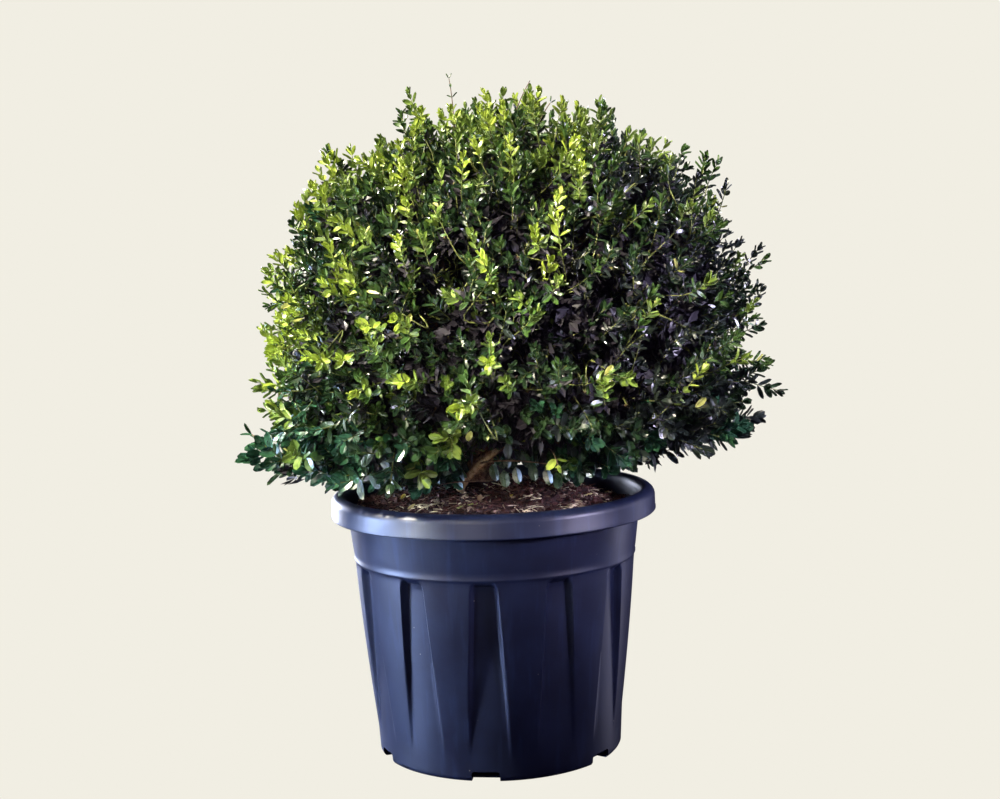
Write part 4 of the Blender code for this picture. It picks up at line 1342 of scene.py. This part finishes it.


# A tint number for each shoot: brighter high up, brighter where it stands out and darker where it is sunk
# (young growth outside, and partly painted shade in the hollows), darker and bluish low down, bluish on the
# left, and darker with the shade tint on the right, which is painted shade on the side turned from the key
# light
def dealTints(rng, shoots):
    tips, low = shoots["tips"], shoots["low"]
    patch = noiseRows(tips, tone["patchPitch"], 5.0)
    bright = tone["middle"] + tone["patches"] * patch + tone["height"] * (tips[:, 2] - 0.50)
    bright += rng.normal(0, tone["scatter"], len(tips))
    # right grows towards the right-hand side, where its darkening below is painted shade on the side turned
    # from the key light
    right = smooth((tips[:, 0] - crownAxis(tips[:, 2]) - 0.03) / 0.14)
    # Shoots that stand out are brighter and sunk ones darker: young growth outside, and partly painted shade
    # in the hollows
    bright += tone["stray"] * (shoots["stray"] - tone["strayFrom"]) * (1 - tone["lowStray"] * low)
    bright -= tone["low"] * low + tone["right"] * right
    flank = smooth((crownAxis(tips[:, 2]) - tips[:, 0] - 0.15) / 0.10)
    bluish = rng.uniform(0, 1, len(tips)) < tone["bluishLow"] * low + tone["bluishLeft"] * flank
    kind = np.full(len(tips), tintOrder.index("deep"))
    for name, start in tone["steps"]:
        kind[bright > start] = tintOrder.index(name)
    kind[bluish & (bright < tone["bluishBelow"])] = tintOrder.index("blueGreen")
    # The shade tint dealt on the right is painted shade
    shaded = rng.uniform(0, 1, len(tips)) < tone["shadeRight"] * right
    kind[shaded & (bright < tone["shadeBelow"])] = tintOrder.index("shade")
    return kind


# Leaves wait here by tint until they are joined: frames, sizes, bends, and whether each is a broad old one
leafRows = {name: [] for name in leafTints}


def dealLeaves(tint, frames, sizes, bends, broad):
    for number, name in enumerate(tintOrder):
        chosen = tint == number
        if chosen.any():
            leafRows[name].append((frames[chosen], sizes[chosen], bends[chosen], broad[chosen]))


# Leaves in crossed pairs down each shoot: folded round the bud at its tip, older and wider spread below
def growShootLeaves(rng, shoots):
    kind = dealTints(rng, shoots)
    older = np.array([tintOrder.index(olderTint[name]) for name in tintOrder])
    count = len(kind)
    turn = rng.uniform(0, math.pi, count)
    pitch = rng.uniform(*growth["pitch"], count) * mix(1.0, 1.4, shoots["low"])
    rows = growth["pairs"] + growth["oldPairs"]
    for pair in range(-1, rows):
        bud = pair < 0
        age = max(0.0, pair / (rows - 1))
        down = 0.0 if bud else 0.002 + pitch * pair * (0.72 + 0.28 * min(1, pair / 4))
        share = np.clip(down / shoots["length"], 0, 1.15)[:, None]
        places = shoots["tips"] if bud else shootPlace(shoots, share)
        heading = shoots["heading"] if bud else shootHeading(shoots, share)
        spread = 0.05 if bud else mix(leafLook["spreadTip"], leafLook["spreadFoot"], min(1.0, age * 1.6))
        grown = leafLook["grown"][min(pair + 1, 3)]
        for half in (0.0,) if bud else (0.0, math.pi):
            spreads = np.full(count, spread) + rng.normal(0, 0.16, count)
            spin = turn + pair * math.pi / 2 + half + rng.normal(0, 0.18, count)
            frames = leafFrames(rng, places, heading, spreads, spin)
            size = grown * rng.uniform(*leafLook["size"], count)
            length = mix(leafLook["young"][0], leafLook["old"][0], shoots["low"]) * size
            width = mix(leafLook["young"][1], leafLook["old"][1], shoots["low"]) * size
            width *= rng.uniform(*leafLook["breadth"], count)
            bends = rng.normal(*leafLook["bend"], count)
            tint = kind if age < leafLook["olderFrom"] else older[kind]
            # The lowest pairs, deep in the crown, take the violet-black tint that paints the shade there
            if age > leafLook["innerShadeFrom"]:
                tint = np.full(count, tintOrder.index("inner"))
            yellow = (rng.uniform(0, 1, count) < leafLook["yellowShare"]) & (age < leafLook["yellowTo"])
            tint = np.where(yellow, tintOrder.index("yellowed"), tint)
            tips = places + frames[:, 2] * length[:, None]
            keep = (rng.uniform(0, 1, count) < leafLook["kept"][int(age >= 0.5)]) & clearsPot(tips)
            sizes = np.column_stack((width, length, length))
            dealLeaves(tint[keep], frames[keep], sizes[keep], bends[keep], shoots["low"][keep] > 0.5)


# Old leaves along the twigs inside the crown, tinted violet-black as painted shade
def growInnerLeaves(rng, paths, each):
    share = rng.uniform(0.05, 0.95, (len(paths), each))
    step = share * (paths.shape[1] - 1)
    near = np.minimum(step.astype(int), paths.shape[1] - 2)
    rows = np.arange(len(paths))[:, None]
    a, b = paths[rows, near], paths[rows, near + 1]
    places = mix(a, b, (step - near)[:, :, None]).reshape(-1, 3) + rng.normal(0, 0.004, (share.size, 3))
    heading = unit(b - a).reshape(-1, 3)
    count = len(places)
    spread = rng.uniform(*leafLook["innerSpread"], count)
    frames = leafFrames(rng, places, heading, spread, rng.uniform(0, 2 * math.pi, count))
    length = rng.uniform(*leafLook["innerLength"], count)
    sizes = np.column_stack((length * leafLook["innerWidth"], length, length))
    keep = clearsPot(places + frames[:, 2] * length[:, None]) & limbClear(places)
    keep &= (places[:, 2] > skirtHeight(places) + 0.008) & ~inFrontGap(places)
    tint = np.full(count, tintOrder.index("inner"))
    bends = rng.normal(*leafLook["innerBend"], count)
    dealLeaves(tint[keep], frames[keep], sizes[keep], bends[keep], np.zeros(keep.sum(), bool))


# Sprigs that stand alone, each listed with its stem's control points, radius at the foot and the tip,
# pairs of leaves with the share of the stem they take up, their length and width, and their tint
sprigs = (
    # the low twig that sweeps out over the rim on the left, and its side twig
    (((-0.110, -0.085, 0.332), (-0.165, -0.088, 0.331), (-0.215, -0.070, 0.346), (-0.272, -0.056, 0.386)),
     (0.0013, 0.0007), 7, 0.78, (0.020, 0.0105), "blueGreen"),
    (((-0.196, -0.076, 0.340), (-0.190, -0.080, 0.352), (-0.183, -0.082, 0.362), (-0.172, -0.082, 0.376)),
     (0.0008, 0.0005), 2, 0.40, (0.013, 0.0065), "deep"),
    # a bright young sprig above the compost
    (((-0.128, -0.112, 0.331), (-0.120, -0.120, 0.336), (-0.114, -0.126, 0.341), (-0.108, -0.130, 0.350)),
     (0.0009, 0.0006), 2, 0.45, (0.0165, 0.0092), "yellowGreen"),
    # a bare thread of a twig across the compost
    (((-0.060, -0.128, 0.332), (-0.040, -0.132, 0.338), (-0.022, -0.130, 0.335), (-0.002, -0.128, 0.337)),
     (0.0008, 0.0004), 0, 0.0, (0.0, 0.0), "deep"),
    # broad old leaves hanging over the rim on the left
    (((-0.120, -0.070, 0.364), (-0.135, -0.090, 0.355), (-0.150, -0.098, 0.345), (-0.163, -0.102, 0.332)),
     (0.0011, 0.0006), 6, 0.90, (0.019, 0.0108), "deep"),
    (((-0.108, -0.080, 0.364), (-0.118, -0.100, 0.356), (-0.125, -0.112, 0.346), (-0.131, -0.120, 0.336)),
     (0.0011, 0.0006), 5, 0.90, (0.020, 0.0112), "blueGreen"),
    (((-0.150, -0.060, 0.368), (-0.163, -0.072, 0.362), (-0.171, -0.082, 0.355), (-0.178, -0.090, 0.342)),
     (0.0011, 0.0006), 5, 0.90, (0.019, 0.0105), "blueGreen"),
    (((-0.080, -0.070, 0.372), (-0.085, -0.090, 0.366), (-0.087, -0.108, 0.358), (-0.086, -0.118, 0.348)),
     (0.0011, 0.0006), 5, 0.90, (0.019, 0.0108), "deep"),
    (((-0.056, -0.075, 0.372), (-0.056, -0.085, 0.368), (-0.054, -0.095, 0.362), (-0.050, -0.100, 0.352)),
     (0.0010, 0.0006), 4, 0.85, (0.018, 0.0104), "shade"),
    # the twig that bears the row of hanging leaves, and a lime pair beside it
    (((-0.012, -0.105, 0.352), (0.006, -0.140, 0.361), (0.034, -0.153, 0.361), (0.066, -0.155, 0.355)),
     (0.0012, 0.0007), 0, 0.0, (0.0, 0.0), "deep"),
    (((0.060, -0.150, 0.372), (0.064, -0.180, 0.378), (0.067, -0.196, 0.372), (0.070, -0.204, 0.362)),
     (0.0009, 0.0006), 2, 0.40, (0.0135, 0.0078), "lime"),
    # dark leaves hanging inside and over the rim on the right, most in the painted shade tint
    (((0.130, 0.030, 0.364), (0.148, 0.050, 0.354), (0.165, 0.068, 0.345), (0.178, 0.082, 0.334)),
     (0.0011, 0.0006), 6, 0.90, (0.019, 0.0108), "shade"),
    (((0.118, -0.025, 0.364), (0.136, -0.014, 0.356), (0.150, -0.004, 0.348), (0.162, 0.008, 0.337)),
     (0.0011, 0.0006), 6, 0.90, (0.019, 0.0108), "shade"),
    (((0.105, -0.075, 0.372), (0.118, -0.085, 0.368), (0.130, -0.090, 0.362), (0.140, -0.092, 0.352)),
     (0.0011, 0.0006), 5, 0.90, (0.018, 0.0102), "deep"),
    # bare and thin-leaved tips that the shears missed
    (((-0.030, -0.020, 0.700), (-0.031, -0.020, 0.730), (-0.031, -0.021, 0.756), (-0.035, -0.022, 0.781)),
     (0.0009, 0.0004), 3, 0.42, (0.008, 0.0026), "fresh"),
    (((0.028, -0.050, 0.700), (0.034, -0.050, 0.730), (0.043, -0.051, 0.752), (0.056, -0.052, 0.773)),
     (0.0009, 0.0004), 0, 0.0, (0.0, 0.0), "deep"),
    (((0.055, -0.050, 0.705), (0.062, -0.050, 0.722), (0.068, -0.050, 0.735), (0.078, -0.050, 0.748)),
     (0.0009, 0.0005), 1, 0.20, (0.009, 0.003), "fresh"),
)


# Twigs that hang from the low boughs over the compost, in the same form as the sprigs, half of them in the
# painted shade tint
hangers = {
    "each": 7, "turn": 85, "reach": (0.028, 0.060), "end": (0.335, 0.352), "rise": 0.008,
    "radii": (0.0011, 0.0006), "pairs": 5, "taken": 0.90, "leaf": (0.0185, 0.0105),
    "tints": ("shade", "shade", "deep", "blueGreen"),
}

# More of them in a fringe over the rim at the back, all in the painted shade tint: azimuths, then radius and
# height of both ends
fringe = {
    "count": 36, "azimuths": (108, 252), "startRadius": (0.118, 0.140), "endRadius": (0.162, 0.190),
    "startZ": 0.372, "endZ": (0.322, 0.330), "rise": 0.005,
}


def makeHangers(rng):
    found = []
    leafy = (hangers["radii"], hangers["pairs"], hangers["taken"], hangers["leaf"])
    for (name, azimuth, _), (rows, radii, _) in zip(masses, limbs):
        if not name.startswith("lower") or name == boughs["crossing"]:
            continue
        for share in np.linspace(0.30, 0.95, hangers["each"]):
            step = int(share * (len(rows) - 1))
            turn = rng.uniform(-hangers["turn"], hangers["turn"])
            outward = np.array(direction(math.radians(azimuth + turn)))
            start = rows[step] + outward * (radii[step] + 0.0015)
            end = rows[step] + outward * rng.uniform(*hangers["reach"])
            end[2] = rng.uniform(*hangers["end"])
            rise = np.array((0, 0, hangers["rise"]))
            stem = (start, mix(start, end, 0.35) + rise, mix(start, end, 0.75) + rise, end)
            if not inFrontGap(np.array(stem)).any() and limbClear(np.array(stem[1:])).all():
                tint = hangers["tints"][rng.integers(len(hangers["tints"]))]
                found.append((stem, *leafy, tint))
    rise = np.array((0, 0, fringe["rise"]))
    for azimuth in np.radians(np.linspace(*fringe["azimuths"], fringe["count"])):
        outward = np.array(direction(azimuth))
        start = outward * rng.uniform(*fringe["startRadius"])
        end = outward * rng.uniform(*fringe["endRadius"])
        start[2], end[2] = fringe["startZ"], rng.uniform(*fringe["endZ"])
        found.append(((start, mix(start, end, 0.35), mix(start, end, 0.75) + rise, end), *leafy, "shade"))
    return tuple(found)


def growSprigs(rng, sprigs, woody):
    steps = 12
    stems = np.array([sprig[0] for sprig in sprigs])
    paths = curveRows([stems[:, k] for k in range(4)], steps)
    radii = np.array([np.linspace(*sprig[1], steps + 1) for sprig in sprigs])
    dress(joinedMesh("lone_sprigs", *tubeRows(paths, radii, 6)), woody, foliageNodes)
    for path, (_, _, pairs, taken, (length, width), name) in zip(paths, sprigs):
        for pair in range(pairs):
            step = (1 - taken * pair / pairs) * steps
            near = min(int(step), steps - 1)
            place = mix(path[near], path[near + 1], step - near)
            heading = unit(path[near + 1] - path[near])
            spread = np.full(2, math.radians(24 if pair == 0 else 52))
            turns = rng.uniform(-0.3, 0.3) + pair * math.pi / 2 + np.array((0.0, math.pi))
            frames = leafFrames(rng, np.tile(place, (2, 1)), np.tile(heading, (2, 1)), spread, turns)
            size = length * rng.uniform(0.8, 1.15, 2) * (0.8 if pair == 0 else 1.0)
            sizes = np.column_stack((size * width / length, size, size))
            dealLeaves(np.full(2, tintOrder.index(name)), frames, sizes, rng.normal(-0.10, 0.08, 2),
                       np.full(2, length > leafLook["broadFrom"]))


# Frames of leaves at these places that run along and face as told, each a little unevenly
def aimedFrames(rng, places, along, facing, unevenness):
    along = unit(np.array(along) + rng.normal(0, unevenness, places.shape))
    facing = np.array(facing) + rng.normal(0, unevenness, places.shape)
    facing = unit(facing - along * np.sum(facing * along, axis=1, keepdims=True))
    return np.stack((places, np.cross(along, facing), along, facing), axis=1)


# The broad leaves that hang side by side under the front, and a few by the back rim: where their stalks are
hangingLeaves = {
    "stalks": (
        (0.001, -0.150, 0.358), (0.013, -0.150, 0.351), (0.026, -0.151, 0.354), (0.043, -0.152, 0.357),
        (0.058, -0.153, 0.352), (0.070, -0.152, 0.347), (0.034, -0.125, 0.366),
        (-0.004, 0.160, 0.325), (0.007, 0.162, 0.324), (0.018, 0.160, 0.326), (0.029, 0.162, 0.324),
        (0.040, 0.160, 0.325),
    ),
    "along": (0.0, -0.20, -1.0), "facing": (-0.25, -0.95, 0.15), "unevenness": 0.16,
    "length": (0.017, 0.021), "width": 0.60, "bend": -0.12, "tint": "deep",
}


def hangLeaves(rng):
    places = np.array(hangingLeaves["stalks"])
    count = len(places)
    frames = aimedFrames(rng, places, hangingLeaves["along"], hangingLeaves["facing"],
                         hangingLeaves["unevenness"])
    length = rng.uniform(*hangingLeaves["length"], count)
    sizes = np.column_stack((length * hangingLeaves["width"], length, length))
    dealLeaves(np.full(count, tintOrder.index(hangingLeaves["tint"])), frames, sizes,
               np.full(count, hangingLeaves["bend"]), np.ones(count, bool))


# Leaves dropped on the compost: place, turn in degrees, how steeply each stands, length, tint
fallenLeaves = (
    (-0.038, -0.030, 200, 62, 0.015, "pale"), (-0.030, -0.098, 75, 22, 0.014, "greenish"),
    (-0.040, -0.100, 30, 15, 0.011, "greenish"), (-0.016, -0.098, 160, 55, 0.012, "dry"),
    (-0.106, -0.036, 150, 40, 0.010, "yellow"), (-0.148, 0.045, 110, 25, 0.013, "pink"),
    (0.020, -0.062, 20, 30, 0.007, "yellow"), (0.126, -0.042, 80, 20, 0.012, "pale"),
    (0.090, -0.080, 10, 25, 0.008, "pale"), (-0.052, -0.095, 60, 10, 0.010, "dry"),
)
# Loose leaves strewn among them: how many, their tints, how steeply they stand and how long they are
looseLeaves = {
    "count": 26, "tints": ("dry", "dry", "dry", "yellow", "pale"), "lift": (0, 30), "length": (0.006, 0.012),
}

fallenTints = {
    "pale": ("#F2EAB0", "#DDD088"), "yellow": ("#DCCB58", "#BDAA3E"), "pink": ("#D99A88", "#B87464"),
    "greenish": ("#AEBE4C", "#8C9E3A"), "dry": ("#8C6C4A", "#6A4C34"),
}


# The listed leaves and the loose ones among them. Returns how many lie there
def strewFallenLeaves(rng):
    rows = list(fallenLeaves)
    for x, y, _ in scatterPlaces(rng, looseLeaves["count"]):
        tint = looseLeaves["tints"][rng.integers(len(looseLeaves["tints"]))]
        lie = (rng.uniform(0, 360), rng.uniform(*looseLeaves["lift"]), rng.uniform(*looseLeaves["length"]))
        rows.append((x, y, *lie, tint))
    for name, (upper, lower) in fallenTints.items():
        chosen = [row for row in rows if row[5] == name]
        places = np.array([(x, y, compostHeight(x, y) + 0.0022) for x, y, *_ in chosen])
        turn, lift = np.radians([row[2] for row in chosen]), np.radians([row[3] for row in chosen])
        along = np.column_stack((np.sin(turn) * np.cos(lift), -np.cos(turn) * np.cos(lift), np.sin(lift)))
        facing = np.column_stack((-np.sin(turn) * np.sin(lift), np.cos(turn) * np.sin(lift), np.cos(lift)))
        frames = aimedFrames(rng, places, along, facing, 0.06)
        length = np.array([row[4] for row in chosen])
        sizes = np.column_stack((length * 0.58, length, length))
        points, sets = copyShape(*oldLeaf, frames, sizes, rng.normal(0.05, 0.1, len(chosen)))
        piece = joinedMesh("fallen_leaves_" + name, points, sets, midribPairs(oldLeaf[0]))
        dress(piece, leafMaterial("fallen_leaf_" + name, upper, lower, 0.45, 0.10), ["soil"])
    return len(rows)


# Joins the leaves of one tint and shape, split so that each piece stays under the triangle limit
def joinLeaves(name, leaf, frames, sizes, bends, material):
    shape, faces = leaf
    triangles = sum(len(face) - 2 for face in faces)
    parts = math.ceil(len(frames) * triangles / triangleLimit)
    for part in range(parts):
        rows = slice(part * len(frames) // parts, (part + 1) * len(frames) // parts)
        points, sets = copyShape(shape, faces, frames[rows], sizes[rows], bends[rows])
        label = name if parts == 1 else name + "_" + str(part + 1)
        piece = joinedMesh(label, points, sets, midribPairs(shape))
        dress(piece, material, foliageNodes)


def makeLeaves(rng, shoots, limbPaths, forkPaths, woody):
    growShootLeaves(rng, shoots)
    growInnerLeaves(rng, forkPaths, leafLook["innerEach"])
    growInnerLeaves(rng, limbPaths, leafLook["limbEach"])
    growSprigs(rng, sprigs + makeHangers(rng), woody)
    hangLeaves(rng)
    total = 0
    for name, (upper, lower, roughness, glow) in leafTints.items():
        material = leafMaterial("holly_leaf_" + name, upper, lower, roughness, glow)
        frames, sizes, bends, broad = (np.concatenate(column) for column in zip(*leafRows[name]))
        total += len(frames)
        kinds = (("young", youngLeaf, ~broad), ("old", oldLeaf, broad))
        if name == "inner":
            kinds = (("scrap", scrapLeaf, np.ones(len(frames), bool)),)
        for label, shape, chosen in kinds:
            if chosen.any():
                joinLeaves("leaves_" + name + "_" + label, shape, frames[chosen], sizes[chosen],
                           bends[chosen], material)
    return total


leafRng = np.random.default_rng(leafLook["seed"])
print("leaves:", makeLeaves(leafRng, shoots, limbPaths, forkPaths, woody))
print("fallen leaves:", strewFallenLeaves(leafRng))


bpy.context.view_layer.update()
triangles = sum(sum(len(face.vertices) - 2 for face in item.data.polygons)
                for item in bpy.context.scene.objects if item.type == "MESH" and not item.hide_render)
print("triangles:", triangles)
